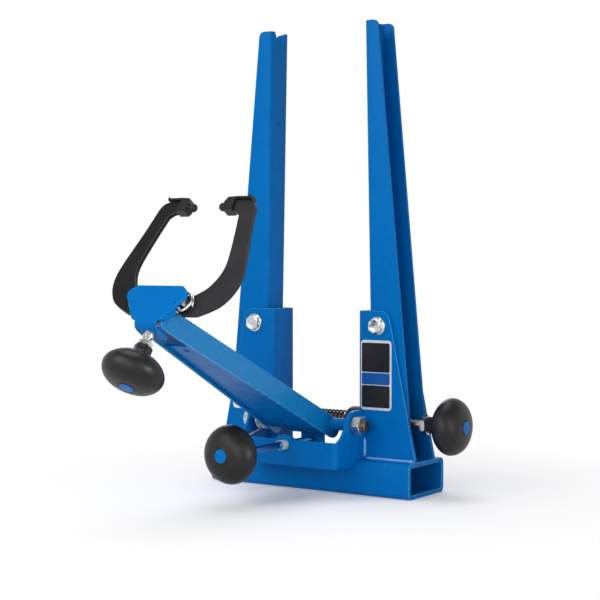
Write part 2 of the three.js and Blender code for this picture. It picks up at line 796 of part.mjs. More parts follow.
// Arm pivot bolt, its washers and its nut
const pivotAt = [armPivotY, armPivotZ];
const washerEnd = frontHalfWidth + armPivotWasherThickness;
const cornerForward = Math.PI / 6;
function armPivotBolt() {
  const nutEnd = washerEnd + armPivotNutHeight + armPivotCollarHeight;
  return join(
    hexBar('x', armPivotFlats, -washerEnd - armPivotHeadHeight, -washerEnd, pivotAt, cornerForward),
    bar(
      'x', armPivotBoltRadius, -washerEnd - armPivotHeadHeight / 2, nutEnd + armPivotBoltEnd,
      boreSides, pivotAt,
    ),
  );
}
function ringAt(x, radius, thickness) {
  return cut(
    bar('x', radius, x, x + thickness, roundSides, pivotAt),
    bar('x', armPivotBoltRadius + fitGap / 2, x - overrun, x + overrun, boreSides, pivotAt),
  );
}
function armPivotNut() {
  const collar = washerEnd + armPivotNutHeight;
  const nut = join(
    hexBar('x', armPivotFlats, washerEnd, collar, pivotAt, cornerForward),
    bar('x', armPivotCollarRadius, collar - fitGap, collar + armPivotCollarHeight, roundSides, pivotAt),
  );
  return cut(
    nut, bar('x', armPivotBoltRadius + fitGap / 2, washerEnd - overrun, collar + overrun, boreSides, pivotAt),
  );
}
addPiece(stand, 'arm_pivot_bolt', armPivotBolt(), brightSteel());
addPiece(stand, 'arm_pivot_nut', armPivotNut(), brightSteel());
for (const [x, word] of [[frontHalfWidth, 'right'], [-washerEnd, 'left']]) {
  addPiece(
    stand, `arm_pivot_washer_${word}`, ringAt(x, armPivotWasherRadius, armPivotWasherThickness), brightSteel(),
  );
}

// Labels on the brackets' front flanges, bare
function label(x, width, bottom, top) {
  const half = width / 2;
  const shape = outline([
    [x - half, bottom, labelRadius], [x + half, bottom, labelRadius],
    [x + half, top, labelRadius], [x - half, top, labelRadius],
  ]);
  return slab(shape, 'xz', bracketFrontY - labelThickness, bracketFrontY);
}
addPiece(
  stand, 'label_right',
  label(
    labelRightX, labelRightWidth, earFootZ + labelEarGap, uprightPivotZ - boltFlangeRadius - labelBoltGap,
  ),
  labelVinyl(),
);
const labelLeftBottom = baseHeight + labelLeftRise;
addPiece(
  stand, 'label_left', label(labelLeftX, labelLeftWidth, labelLeftBottom, labelLeftBottom + labelLeftHeight),
  labelVinyl(),
);

// Arm screw: a rod with a knob, and a tip that turns on its end and pushes the arm's tail
const tailFaceY = armPivotY + armTailFaceReach;
const tipEnd = tailFaceY - fitGap;
const tipStart = tipEnd - thrustTipLength;
const armScrewAt = [0, armScrewZ];
function thrustTip() {
  const bore = thrustSpigotRadius + fitGap;
  const points = [
    [0, tipStart + thrustSpigotLength + fitGap], [bore, tipStart + thrustSpigotLength + fitGap],
    [bore, tipStart],
    [thrustTipRadius, tipStart], [thrustTipRadius, tipEnd - thrustTipRadius / 2],
    [thrustTipRadius / 2, tipEnd], [0, tipEnd],
  ];
  return turned('y', points, boltSides, armScrewAt);
}
function armScrewRod() {
  const shoulder = tipStart - fitGap;
  return join(
    bar('y', smallRodRadius, armKnobY - knobSocketDepth + fitGap, shoulder, boreSides, armScrewAt),
    bar('y', thrustSpigotRadius, shoulder - fitGap, tipStart + thrustSpigotLength, boltSides, armScrewAt),
  );
}
addPiece(stand, 'arm_screw_tip', thrustTip(), rodSteel());
addPiece(stand, 'arm_screw_rod', armScrewRod(), rodSteel());
addKnob(stand, 'arm_screw', smallRodRadius, [0, armKnobY, armScrewZ], [Math.PI / 2, 0, 0]);

// Arm: in its own frame, towards -y for the callipers, its plates narrowing that way
const armHalfWidthAt = (reach) => armPivotHalfWidth - armTaper * reach;
const armInsideAt = (reach) => armHalfWidthAt(reach) - armSideWall / Math.cos(armSideAngle) - fitGap;

// Where the side plates stop behind the calliper plate, at a height across the arm.
function armFrontAt(height) {
  const seat = plateRearZ - fitGap;
  return calliperReach + (seat - (height + calliperDrop) * Math.cos(calliperRake)) / Math.sin(calliperRake);
}

function armSide(side) {
  const shape = outline([
    [armLobeReach, -armSideBottom, armLobeRadius], [armLobeReach, armSideTop, armLobeRadius],
    [-armFrontAt(armSideTop), armSideTop], [-armFrontAt(-armSideBottom), -armSideBottom, armNoseRadius],
  ]);
  const plate = side > 0 ? slab(shape, 'yz', -armSideWall, 0) : slab(shape, 'yz', 0, armSideWall);
  plate.rotateZ(-side * armSideAngle).translate(side * armPivotHalfWidth, 0, 0);
  const reach = armPivotHalfWidth + overrun;
  return cut(plate, bar('x', armTubeRadius + fitGap, -reach, reach, roundSides));
}
addPiece(arm, 'arm_side_right', armSide(1), bluePaint());
addPiece(arm, 'arm_side_left', armSide(-1), bluePaint());

function armWeb() {
  const bottom = armWebTop - armWebWall;
  const kinkY = (armTongueDrop + bottom / Math.cos(armRise)) / Math.tan(armRise);
  const kink = kinkY * Math.cos(armRise) + armTongueDrop * Math.sin(armRise);
  const flat = slab(
    bothHalves([
      [armTongueHalfWidth, kink],
      [armTongueHalfWidth, armShoulderY + armTongueHalfWidth / 2, armTongueHalfWidth / 2],
      [armShoulderHalfWidth, armShoulderY - armTongueHalfWidth / 2, armTongueHalfWidth / 2],
      [armInsideAt(armWingReach), -armWingReach], [armInsideAt(armWebEnd), -armWebEnd],
    ].reverse()),
    'xy', bottom, armWebTop,
  );
  const topKinkY = (armTongueDrop - armWebWall + armWebTop / Math.cos(armRise)) / Math.tan(armRise);
  const tail = slab(
    outline([
      [kinkY, -armTongueDrop], [armTailFaceReach, -armTongueDrop, armWebWall / 2],
      [armTailFaceReach, -armTailDepth], [armTailFaceReach + armWebWall, -armTailDepth],
      [armTailFaceReach + armWebWall, -armTongueDrop + armWebWall, armWebWall * 1.5],
      [topKinkY, -armTongueDrop + armWebWall],
    ]),
    'yz', -armTongueHalfWidth, armTongueHalfWidth,
  ).rotateX(armRise);
  const holes = [armWebFrontHole, armWebRearHole].map(
    (reach) => bar('z', armWebHoleRadius, bottom - overrun, armWebTop + overrun, boltSides, [0, -reach]),
  );
  return cut(join(flat, tail), ...holes);
}
addPiece(arm, 'arm_web', armWeb(), bluePaint());

const tubeHalf = frontHalfWidth - frontWall - runningGap;
addPiece(
  arm, 'arm_pivot_tube',
  cut(
    bar('x', armTubeRadius, -tubeHalf, tubeHalf, roundSides),
    bar('x', armPivotBoltRadius + fitGap, -tubeHalf - overrun, tubeHalf + overrun, boreSides),
  ),
  bluePaint(),
);

// Arm spring: wound round the pivot tube, one leg against the front plate, one against the arm
function armSpring() {
  const legAngle = THREE.MathUtils.degToRad(armSpringLegDegrees);
  const departure = -Math.PI / 2 + legAngle;
  const legDirection = new THREE.Vector3(-Math.cos(legAngle), -Math.sin(legAngle), 0);
  const start = new THREE.Vector3(Math.cos(departure), Math.sin(departure), 0).multiplyScalar(armSpringRadius);
  start.z = -armSpringOuterX;
  const plateRear = frontPlateY + frontWall + fitGap + armSpringWire / 2 - armPivotY;
  const legLength = (plateRear - start.x) / legDirection.x;
  const endAngle = departure + 2 * Math.PI * armSpringTurns;
  const end = new THREE.Vector3(Math.cos(endAngle), Math.sin(endAngle), 0).multiplyScalar(armSpringRadius);
  const tangent = new THREE.Vector3(-Math.sin(endAngle), Math.cos(endAngle), 0);
  end.z = -armSpringInnerX;
  const seat = -(armHalfWidthAt(-armSpringRadius) + fitGap);
  const turnedIn = end.clone().addScaledVector(tangent, armSpringWire);
  const wound = windWire('arm_spring', {
    wire: armSpringWire, radius: armSpringRadius, turns: armSpringTurns,
    from: -armSpringOuterX, to: -armSpringInnerX, startAngle: departure,
    before: [legLength, armSpringWire].map((along) => start.clone().addScaledVector(legDirection, along)),
    after: [turnedIn.clone().setZ(seat - armSpringWire), turnedIn.clone().setZ(seat)],
  });
  return wound.applyMatrix4(new THREE.Matrix4().makeBasis(...planes.yz)).translate(0, armPivotY, armPivotZ);
}
addPiece(stand, 'arm_spring', armSpring(), springSteel());

// Calliper plate: bent back below into a lip that holds the bush, and along its slanting edges
function plateFlange(side) {
  const bottom = new THREE.Vector2(plateBottomHalfWidth, plateBottomY);
  const along = new THREE.Vector2(plateWingHalfWidth, plateWingBottomY).sub(bottom).normalize();
  const inward = new THREE.Vector2(-along.y, along.x);
  const outer = plateFlangeSpans.map((span) => bottom.clone().addScaledVector(along, span));
  const inner = [plateFlangeSpans[1], plateFlangeInnerStart].map(
    (span) => bottom.clone().addScaledVector(along, span).addScaledVector(inward, plateWall),
  );
  const corners = [...outer, ...inner].map((corner) => [side * corner.x, corner.y]);
  return slab(outline(corners), 'xy', plateRearZ - plateFlangeDepth, plateFrontZ - plateWall / 2);
}

function calliperPlate() {
  const face = slab(
    bothHalves([
      [plateBottomHalfWidth, plateBottomY, plateWall], [plateWingHalfWidth, plateWingBottomY, plateCornerRadius],
      [plateWingHalfWidth, plateWingTopY, plateCornerRadius], [plateTopHalfWidth, plateTopY, plateCornerRadius],
    ]),
    'xy', plateRearZ, plateFrontZ,
  );
  const lipBottom = plateBottomY - plateBend;
  const lipTop = lipBottom + plateWall;
  const lipEnd = plateFrontZ - plateBend - plateLipReach;
  const lip = slab(
    outline([
      [plateBottomY + plateWall, plateRearZ], [lipTop, plateRearZ, plateBend - plateWall],
      [lipTop, lipEnd], [lipBottom, lipEnd],
      [lipBottom, plateFrontZ, plateBend], [plateBottomY + plateWall, plateFrontZ],
    ]),
    'yz', -plateLipHalfWidth, plateLipHalfWidth,
  );
  const at = [0, calliperScrewZ];
  const dimples = [1, -1].map((side) => bar(
    'z', plateDimpleRadius, plateFrontZ - plateDimpleDepth, plateFrontZ + overrun, boltSides,
    [side * plateDimpleX, plateDimpleY],
  ));
  return cut(
    join(face, lip, plateFlange(1), plateFlange(-1)),
    bar('y', calliperBushRadius + fitGap, lipBottom - overrun, lipTop + fitGap, roundSides, at),
    ...dimples,
  );
}
addPiece(calliper, 'calliper_plate', calliperPlate(), bluePaint());
addPiece(
  calliper, 'calliper_bushing',
  threadedBush(
    'y', calliperBushRadius, smallRodRadius, calliperBushBottomY, calliperBushTopY, [0, calliperScrewZ],
  ),
  brightSteel(),
);

// Leg pins: welded behind the plate, with a head behind the leg
function legPin(side) {
  const at = [side * legPivotX, legPivotY];
  const head = -legThickness - fitGap;
  return join(
    bar('z', legPinRadius, head - legPinHeadHeight, plateRearZ - fitGap, boreSides, at),
    bar('z', legPinHeadRadius, head - legPinHeadHeight, head, roundSides, at),
  );
}

// Legs
function smooth(shares, count) {
  const points = shares.map(([across, up]) => new THREE.Vector2(across * legSpread, up * legRise));
  return new THREE.SplineCurve(points).getPoints(count);
}

function leg(side) {
  const points = [
    new THREE.Vector2(legPivotX, legPivotY - legHubRadius),
    ...smooth(legOuterShares, legRoundSteps),
    new THREE.Vector2(legSpread * legTopInnerShare, legRise),
    new THREE.Vector2(legTipX, legRise * legTipBottomShare),
    ...smooth(legInnerShares, legRoundSteps),
    new THREE.Vector2(legPivotX, legPivotY + legHubRadius),
  ];
  const blade = new THREE.Shape(points.map((point) => new THREE.Vector2(side * point.x, point.y)));
  const tailY = legPivotY - legTailDrop;
  const tail = [
    [legPivotX, tailY - legTailRadius], [legTailX, tailY - legTailRadius],
    [legTailX, tailY + legTailRadius], [legPivotX, legPivotY + legHubRadius / 2],
  ].map(([x, y]) => [side * x, y]);
  const noseTop = legRise - legNoseMargin;
  const noseBottom = legRise * legTipBottomShare + legNoseMargin;
  const noseFrom = legTipX - legNoseReach;
  const nose = [
    [noseFrom, noseBottom], [legTipX + fitGap, noseBottom],
    [legTipX + fitGap, noseTop], [noseFrom, noseTop],
  ].map(([x, y]) => [side * x, y]);
  const pivotAtSide = [side * legPivotX, legPivotY];
  const body = join(
    slab(blade, 'xy', -legThickness, 0),
    slab(outline(tail), 'xy', -legThickness, 0),
    slab(outline(nose), 'xy', -legThickness, 0),
    bar('z', legHubRadius, -legThickness, 0, roundSides, pivotAtSide),
    bar('z', legTailRadius, -legThickness, 0, boltSides, [side * legTailX, tailY]),
  );
  return cut(body, bar('z', legPinRadius + fitGap, -overrun, overrun, boreSides, pivotAtSide));
}

// Pads
function pad(side) {
  const width = padOuterX - padInnerX;
  const height = padTopY - padBottomY;
  const corners = padOutlineShares.map(([across, up]) => [
    side * (padInnerX + across * width), padBottomY + up * height,
  ]);
  const front = (padThickness - legThickness) / 2;
  const body = slab(outline(corners), 'xy', front - padThickness, front);
  const centreZ = -legThickness / 2;
  const from = side > 0 ? padPegX : -padInnerX - padPegRadius;
  const to = side > 0 ? padInnerX + padPegRadius : -padPegX;
  const peg = bar('x', padPegRadius, from, to, boltSides, [padPegY, centreZ]);
  const ball = new THREE.SphereGeometry(padPegRadius, boltSides, boltSides / 2);
  ball.rotateZ(Math.PI / 2).translate(side * padPegX, padPegY, centreZ);
  const noseFrom = legTipX - legNoseReach - fitGap;
  const noseTo = noseFrom + legNoseReach + overrun;
  const socket = block(
    side > 0 ? noseFrom : -noseTo, side > 0 ? noseTo : -noseFrom,
    legRise * legTipBottomShare + legNoseMargin - fitGap, legRise - legNoseMargin + fitGap,
    -legThickness - fitGap, fitGap,
  );
  const clearance = new THREE.Shape([
    [legTipX - fitGap, legHeelShare * legRise - fitGap],
    [legSpread, legHeelShare * legRise - fitGap],
    [legSpread, legRise + fitGap], [legTopInnerShare * legSpread - fitGap, legRise + fitGap],
  ].map(([x, y]) => new THREE.Vector2(side * x, y)));
  const room = slab(clearance, 'xy', front - padThickness - fitGap, front + fitGap);
  return cut(join(body, peg, ball), socket, room);
}

for (const [side, word] of [[1, 'right'], [-1, 'left']]) {
  addPiece(calliper, `leg_pin_${word}`, legPin(side), brightSteel());
  addPiece(calliper, `leg_${word}`, leg(side), blackPaint());
  addPiece(calliper, `pad_${word}`, pad(side), blackPlastic());
  const legSpring = seatedSpring(`leg_spring_${word}`, {
    wire: legSpringWire, radius: legSpringRadius, turns: legSpringTurns, fromSeat: 0, toSeat: plateRearZ,
    startAngle: side > 0 ? 0 : Math.PI,
  });
  legSpring.translate(side * legPivotX, legPivotY, 0);
  addPiece(calliper, `leg_spring_${word}`, legSpring, springSteel());
}

// Slider, calliper screw and knob
const screwAt = [0, calliperScrewZ];
const sliderTopY = legPivotY - legTailDrop - legTailRadius - fitGap;
function slider() {
  const half = sliderDepth / 2;
  const body = block(
    -sliderHalfWidth, sliderHalfWidth, sliderBottomY, sliderTopY, calliperScrewZ - half, calliperScrewZ + half,
  );
  const bore = bar(
    'y', smallRodRadius + fitGap, sliderBottomY - overrun, sliderBottomY + sliderBoreDepth, boreSides, screwAt,
  );
  return cut(body, bore);
}
addPiece(calliper, 'calliper_slider', slider(), brightSteel());
const calliperKnobY = calliperJamTopY - calliperJamHeight - fitGap;
addPiece(
  calliper, 'calliper_screw_rod',
  bar(
    'y', smallRodRadius, calliperKnobY - knobSocketDepth + fitGap,
    sliderBottomY + sliderBoreDepth - fitGap, boreSides, screwAt,
  ),
  rodSteel(),
);
addPiece(
  calliper, 'calliper_jam_nut',
  cut(
    hexBar('y', smallJamFlats, calliperJamTopY - calliperJamHeight, calliperJamTopY, screwAt),
    bar(
      'y', smallRodRadius + fitGap / 2, calliperJamTopY - overrun, calliperJamTopY + overrun,
      boreSides, screwAt,
    ),
  ),
  brightSteel(),
);
addKnob(calliper, 'calliper', smallRodRadius, [0, calliperKnobY, calliperScrewZ], [Math.PI / 2, 0, 0]);

export default stand;
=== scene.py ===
"""A bicycle wheel truing stand: finishes, fasteners, threads, springs and welds on the CAD frame.

Sizes are in millimetres, in the frame of the part: X along the axle, -Y towards the calliper arm, Z up.
"""

import math

import bmesh
import bpy
from mathutils import Matrix, Vector


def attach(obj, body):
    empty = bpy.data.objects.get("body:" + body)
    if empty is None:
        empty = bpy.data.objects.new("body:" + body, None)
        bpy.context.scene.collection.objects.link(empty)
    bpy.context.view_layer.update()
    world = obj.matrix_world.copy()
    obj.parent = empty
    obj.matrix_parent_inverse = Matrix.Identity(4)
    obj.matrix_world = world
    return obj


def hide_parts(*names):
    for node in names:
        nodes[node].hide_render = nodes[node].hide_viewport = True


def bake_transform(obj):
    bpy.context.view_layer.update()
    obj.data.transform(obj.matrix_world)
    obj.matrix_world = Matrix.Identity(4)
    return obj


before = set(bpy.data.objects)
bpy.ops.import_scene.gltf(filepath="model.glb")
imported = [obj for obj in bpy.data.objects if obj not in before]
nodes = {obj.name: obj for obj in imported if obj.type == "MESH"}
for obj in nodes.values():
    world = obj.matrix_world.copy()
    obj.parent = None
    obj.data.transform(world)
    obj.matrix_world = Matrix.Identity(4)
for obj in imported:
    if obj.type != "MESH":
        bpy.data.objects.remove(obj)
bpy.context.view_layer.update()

MM = 0.001
SIDES = ((1, "right"), (-1, "left"))

# How finely round pieces are divided
ROUND_STEPS = 64
HEX_STEPS = 72
QUARTER_STEPS = 8
WIRE_STEPS = 28
WIRE_SIDES = 14
THREAD_STEPS = 32
THREAD_ROWS = 6
SMOOTH_DEGREES = 38
FLAT_DEGREES = 0.5
SHADING_WEIGHT = 80
SAME_PLACE = 0.002

# How far apart two pieces lie
FIT_GAP = 0.3
BORE_GAP = FIT_GAP / 2

# How far edges are rounded
EDGE = 0.55
EDGE_STEPS = 3
LEG_EDGE = 0.6
PAD_EDGE = 1
SLIDER_EDGE = 0.8
SPREAD_NUT_EDGE = 0.4
ARM_TIP_EDGE = 0.3

# Turned corners: their round, the most it takes of the sides beside it, and how near the corner it passes
ROUND_OFF = 0.4
ROUND_SHARE = 1 / 3
CORNER_SHARE = 0.6
# Where a path's sides are cut, from each end
CUT_SHARE = 0.25

# Camera, at the photograph's angle. Its reach is in metres.
CAMERA_AT = (850.35, -1299.5, 249.76)
CAMERA_YAW = 34.2
CAMERA_PITCH = 1.58
CAMERA_LENS = 83.75
CAMERA_REACH = 100
SENSOR = 36

# Stand
FRAME_CENTRE_Y = 2
BASE_TOP_Z = 38
BRACKET_FRONT_Y = -20
BRACKET_REAR_Y = 24
BRACKET_WEB_X = 56
BRACKET_FOOT_X = 126
PIVOT_X = 80.9
PIVOT_Z = 180.8
FRONT_HALF_WIDTH = 65
FRONT_PLATE_Y = -78
FRONT_WALL = 3
FRONT_EAR_Z = 84

# Upright pivot bolts and their nuts. A flange is rounded at its seat, then slopes up to the hexagon.
FLANGE_RADIUS = 10
FLANGE_ROUND = 0.3
FLANGE_EDGE = 0.5
FLANGE_RIM = 1.4
FLANGE_SLOPE = 0.2
FLANGE_TOP = 2.3
FLANGE_FILLET = 0.7
BOLT_FLATS = 15
BOLT_HEX_FROM = 2.2
BOLT_HEAD = 7
BOLT_NUT = 8
BOLT_NUT_MOUTH = 0.2
BOLT_DISH_RIM = 0.9
BOLT_DISH_FLOOR = 2.2
BOLT_DISH_DEPTH = 0.5
BOLT_DISH_CENTRE = 0.6
BOLT_END = 11
BOLT_END_CHAMFER = 0.8
BOLT_END_ROUND = 0.7
BOLT_PITCH = 1.5
BOLT_THREAD = 16
BOLT_RUNOUT = 1
BOLT_SINK = 0.2

# Hexagons and threads: shares of the flats and of the pitch
HEX_FACE_SHARE = 0.94
HEX_CHAMFER_DEGREES = 28
HEX_LEAD = 1
HEX_LEAD_SHARE = 1 / 6
THREAD_DEPTH_SHARE = 0.5
THREAD_SLOPE = 1.6
THREAD_ROOT = 0.3
ROD_CHAMFER_SHARE = 0.6

# Spread screw
SPREAD_Z = 75.7
SPREAD_ROD_RADIUS = 5.65
SPREAD_PITCH = 1.75
SPREAD_ROD_LEFT = -113
SPREAD_ROD_RIGHT = 148.5
SPREAD_THREAD_LEAD = 1.2
SPREAD_THREAD_FROM = 69
SPREAD_THREAD_TO = 112
SPREAD_KNOB_X = 131.8
SPREAD_JAM_X = 125
JAM_FLATS = 19
JAM_HEIGHT = 6.5
CAP_INNER_X = 32
CAP_BORE_GAP = 0.5
CAP_RADIUS = 15.2
CAP_DOME = 6.4
CAP_NOSE = 8.5
CAP_LENGTH = 36
CAP_INNER_ROUND = 4.8
CAP_INNER_STRETCH = 1.5

# Arm, its pivot and its screw
ARM_PIVOT = (0, -41, 75.2)
ARM_RISE = 26.35
PIVOT_BOLT_RADIUS = 5
PIVOT_TUBE_RADIUS = 6.6
PIVOT_TUBE_HALF = 61.5
PIVOT_TUBE_GAP = 0.2
PIVOT_NUT_FLATS = 19
PIVOT_NUT_HEIGHT = 9.5
PIVOT_NUT_TURN = math.pi / 6
PIVOT_COLLAR_RADIUS = 6.2
PIVOT_COLLAR_HEIGHT = 4.3
PIVOT_COLLAR_DOME = 0.8
PIVOT_HEAD_HEIGHT = 8.5
PIVOT_BOLT_SINK = 1
PIVOT_WASHER = 1.5
PIVOT_WASHER_RADIUS = 8.5
PIVOT_WASHER_ROUND = 0.3
# The pivot bolt's end: distance in from its side and back from its end
PIVOT_BOLT_TIP = [(0, 1.2), (0.4, 0.3), (1.1, 0)]
ARM_SCREW_Z = 54.2
SMALL_ROD_RADIUS = 4
SMALL_PITCH = 1.25
ARM_BUSH_RADIUS = 5.4
ARM_BUSH = (-87, -75)
ARM_BUSH_ROUND = 0.7
ARM_THREAD_BEFORE_BUSH = 4
ARM_THREAD_BEFORE_TIP = 2
ARM_KNOB_Y = -146
ARM_TIP_Y = -29.3

# Calliper head, in its own frame: y up along the legs, z towards the user
CALLIPER_REACH = 275.8
CALLIPER_DROP = 15.4
CALLIPER_RAKE = 81.65
CALLIPER_SCREW_Z = 2
CALLIPER_BUSH_RADIUS = 5.6
CALLIPER_BUSH = (-8.6, 2)
CALLIPER_BUSH_ROUND = 0.6
CALLIPER_JAM = (-17.4, -12.4)
CALLIPER_KNOB_Y = -17.7
CALLIPER_THREAD = (-27.7, 12)
CALLIPER_ROD_END = 13.7
SMALL_JAM_FLATS = 13
LEG_PIVOT_X = 27
LEG_PIVOT_Y = 30.5
LEG_PIN_RADIUS = 4
LEG_PIN_HEAD_RADIUS = 6.5
LEG_PIN_HEAD = 3
LEG_PIN_CHAMFER = 0.6
LEG_THICKNESS = 5
PLATE_REAR_Z = 12
PAD_BOTTOM = 139.6
PAD_OUTER = 51.5

# Knobs: a hexagonal neck, and (radius, distance from the neck's end) along the head's outline
KNOB_SOCKET = 17
KNOB_MOUTH = 0.6
KNOB_NECK_RADIUS = 9.3
KNOB_NECK_ROUND_SHARE = 0.965
# Distance from the neck's end and share of its width
KNOB_NECK_ROWS = [(0, 0.9), (0.25, 0.96), (0.9, 1), (5.9, 1)]
KNOB_PROFILE = [
    (9.5, 7.8), (10.9, 9.2), (14.8, 10.7), (19.6, 13), (24.6, 16.6), (28.2, 20.6), (29.8, 23.8),
    (30.4, 26.9), (30.1, 29.8), (29, 33.2), (26.9, 36.5), (24, 39.3), (20.2, 41.6), (15, 43.4), (8.9, 44.4),
]
KNOB_BLEND = 5
KNOB_HEX_SHARE = 0.8
KNOB_ROWS = 44
KNOB_STEPS = 96
BADGE_RADIUS = 8
BADGE_RECESS = 43.7
BADGE_SEAT = 0.1
BADGE_FACE = 44.8
BADGE_LIP = 0.15
BADGE_LIP_DROP = 0.45
BADGE_DISC_INSET = 0.9
BADGE_DISC_ROUND = 0.25
BADGE_DOME_INSET = 3
BADGE_DOME_RISE = (0.12, 0.25)
BADGE_RIM_INSET = 0.85
BADGE_RIM_DROP = (0.3, 0.2)
BADGE_RIM_ROUND = 0.15

# Springs: wire, mean radius and turns
SPRING_BEND_SHARE = 0.3
SPREAD_SPRING = (2.4, 8.9, 12)
ARM_SPRING = (2.6, 10.7, 5)
ARM_SPRING_FROM = 59
ARM_SPRING_TO = 43
ARM_SPRING_LEG = 15
ARM_HALF_WIDTH = 37.7
ARM_TAPER = 0.0756
LEG_SPRING = (2.4, 10, 1.75)

# Labels, bare: centre, half size, the left and right borders, and the panels as (lowest, highest) z with
# their place in LABEL_INKS
LABELS = {
    "right": ((79.5, 128), (19, 37.5), (1.1, 2.2), [(-34.8, -11, 1), (-10.2, 2.4, 2), (3.2, 34.6, 1)]),
    "left": ((-93.5, 96.8), (18, 14.5), (2, 2), [(-11, -3, 2), (-2.2, 12, 1)]),
}
LABEL_CORNER = 4
LABEL_PANEL_CORNER = 2
LABEL_CORNER_STEPS = 6
LABEL_THICKNESS = 0.4
LABEL_PROUD = 0.06

# Weld beads: radii, how far they stand off, and their spans
WELD_FRONT_RADIUS = 2
WELD_FOOT_RADIUS = 1.8
WELD_END_RADIUS = 2.6
WELD_OFFSET = 0.2
WELD_FRONT_OFFSET = 0.3
WELD_END_OFFSET = 0.4
WELD_LOW_FROM = 2
WELD_LOW_TO = 22
WELD_HIGH_LENGTH = 14
WELD_END_LENGTH = 7
WELD_FRONT_START = 2
WELD_REAR_START = 5
# Ripples: rows in each, and slow waves as (height, rate). Lengths and heights are shares of the radius.
WELD_RIPPLE_SHARE = 1.1
WELD_ROWS = 6
WELD_SIDES = 12
WELD_FLAT_SHARE = 0.8
WELD_HEIGHT_SHARE = 0.18
WELD_WAVES = ((0.06, 7.3), (0.05, 2.9))
WELD_END_SHARE = 0.35

# Colours, linear
BLUE = (0.0, 0.16, 0.51)
# The edge blue is lighter than the coat: a painted highlight along the rounded edges.
BLUE_EDGE_HIGHLIGHT = (0.03, 0.31, 0.74)
# The weld blue is lighter than the coat: a painted highlight on the beads.
BLUE_WELD_HIGHLIGHT = (0.2, 0.45, 0.76)
# The arm blue is a lighter, greener copy of the coat: painted light where the arm's sides are lit.
ARM_BLUE_LIT = (0.002, 0.185, 0.48)
LEG_BLACK = (0.011, 0.0105, 0.011)
# The right leg's paler black is painted light, where that leg faces the light.
LEG_BLACK_LIT = (0.028, 0.028, 0.031)
# Edges of the legs are lightened by this factor: a painted highlight.
PAINTED_HIGHLIGHT_FACTOR = 4
SPRING_BLACK = (0.035, 0.033, 0.034)
PLASTIC = (0.0105, 0.0103, 0.0112)
ZINC = (0.6, 0.62, 0.63)
NYLON = (0.56, 0.62, 0.56)
ROD = (0.3, 0.26, 0.24)
# The rod under the arm is tinted blue: a painted reflection of the blue paint around it.
ROD_BLUE_REFLECTION = (0.05, 0.23, 0.5)
BRONZE = (0.2, 0.13, 0.08)
WIRE = (0.7, 0.72, 0.7)
BADGE = (0.0, 0.175, 0.56)
SILVER = (0.78, 0.8, 0.83)
INK = (0.007, 0.007, 0.008)
LABEL_BLUE = (0.002, 0.09, 0.36)
# Between these values, a noise takes what it varies from its lowest to its highest
NOISE_RANGE = (0.3, 0.7)

# Floor, which isn't part of the object: it glows to white between two distances from its middle
FLOOR_HALF = 6000
# The glow's faint blue is a painted blue bounce from the paint, seen where the floor is shaded.
FLOOR_GLOW = (0.118, 0.118, 0.134)
FLOOR_SHADE = (1, 1, 1)
FLOOR_FADE = (120, 420)
FLOOR_COLOUR = (0.7, 0.7, 0.7)

# World: its light, the heights of a direction between which the backdrop darkens, and its brightness there
WORLD_LIGHT = 0.28
WHITE = (1, 1, 1, 1)
BACKDROP_HEIGHTS = (0.25, 0.85)
BACKDROP_LIGHT = (1, 0.4)

# Lamps: name, place and aim in metres, size in metres, watts and the spread of the beam in degrees
LAMPS = [
    ("key", (-0.6, -1.95, 1.05), (0, -0.05, 0.2), 1.24, 15, 180),
    ("front", (0.5, -2.3, 0.4), (0, -0.05, 0.15), 1.3, 13, 180),
    ("fill", (2.2, -1.4, 0.7), (0, -0.05, 0.2), 1.4, 6, 180),
    ("top", (-0.2, 0.1, 2.3), (0, -0.05, 0.2), 1.6, 19, 180),
    ("back", (-1.2, 1.7, 1.2), (0, -0.05, 0.2), 1.2, 6, 180),
    ("arm", (1.0, -0.32, 0.12), (0.03, -0.285, 0.155), 0.5, 0.44, 44),
]


def millimetres(*values):
    return Vector(values) * MM


def axis_place(at, axis):
    """The place of a turned piece whose local z lies along axis."""
    turn = Vector(axis).to_track_quat("Z", "Y").to_matrix().to_4x4()
    return Matrix.Translation(Vector(at)) @ turn


def calliper_place():
    """The calliper head's own frame, at the end of the raised arm."""
    arm = Matrix.Translation(Vector(ARM_PIVOT)) @ Matrix.Rotation(-math.radians(ARM_RISE), 4, "X")
    shift = Matrix.Translation(Vector((0, -CALLIPER_REACH, -CALLIPER_DROP)))
    return arm @ shift @ Matrix.Rotation(math.radians(CALLIPER_RAKE), 4, "X")


WORLD = Matrix.Identity(4)
CALLIPER = calliper_place()
SPREAD_AXIS = axis_place((0, FRAME_CENTRE_Y, SPREAD_Z), (1, 0, 0))
PIVOT_AXIS = axis_place(ARM_PIVOT, (1, 0, 0))
ARM_SCREW_AXIS = axis_place((0, 0, ARM_SCREW_Z), (0, 1, 0))
CALLIPER_AXIS = CALLIPER @ axis_place((0, 0, CALLIPER_SCREW_Z), (0, 1, 0))


# Materials
def carried(tree, source, from_range, to_range=(0, 1)):
    """The output of a node that carries a source from one range to another."""
    mapped = tree.nodes.new("ShaderNodeMapRange")
    for socket, value in zip(("From Min", "From Max", "To Min", "To Max"), (*from_range, *to_range)):
        mapped.inputs[socket].default_value = value
    tree.links.new(source, mapped.inputs["Value"])
    return mapped.outputs["Result"]


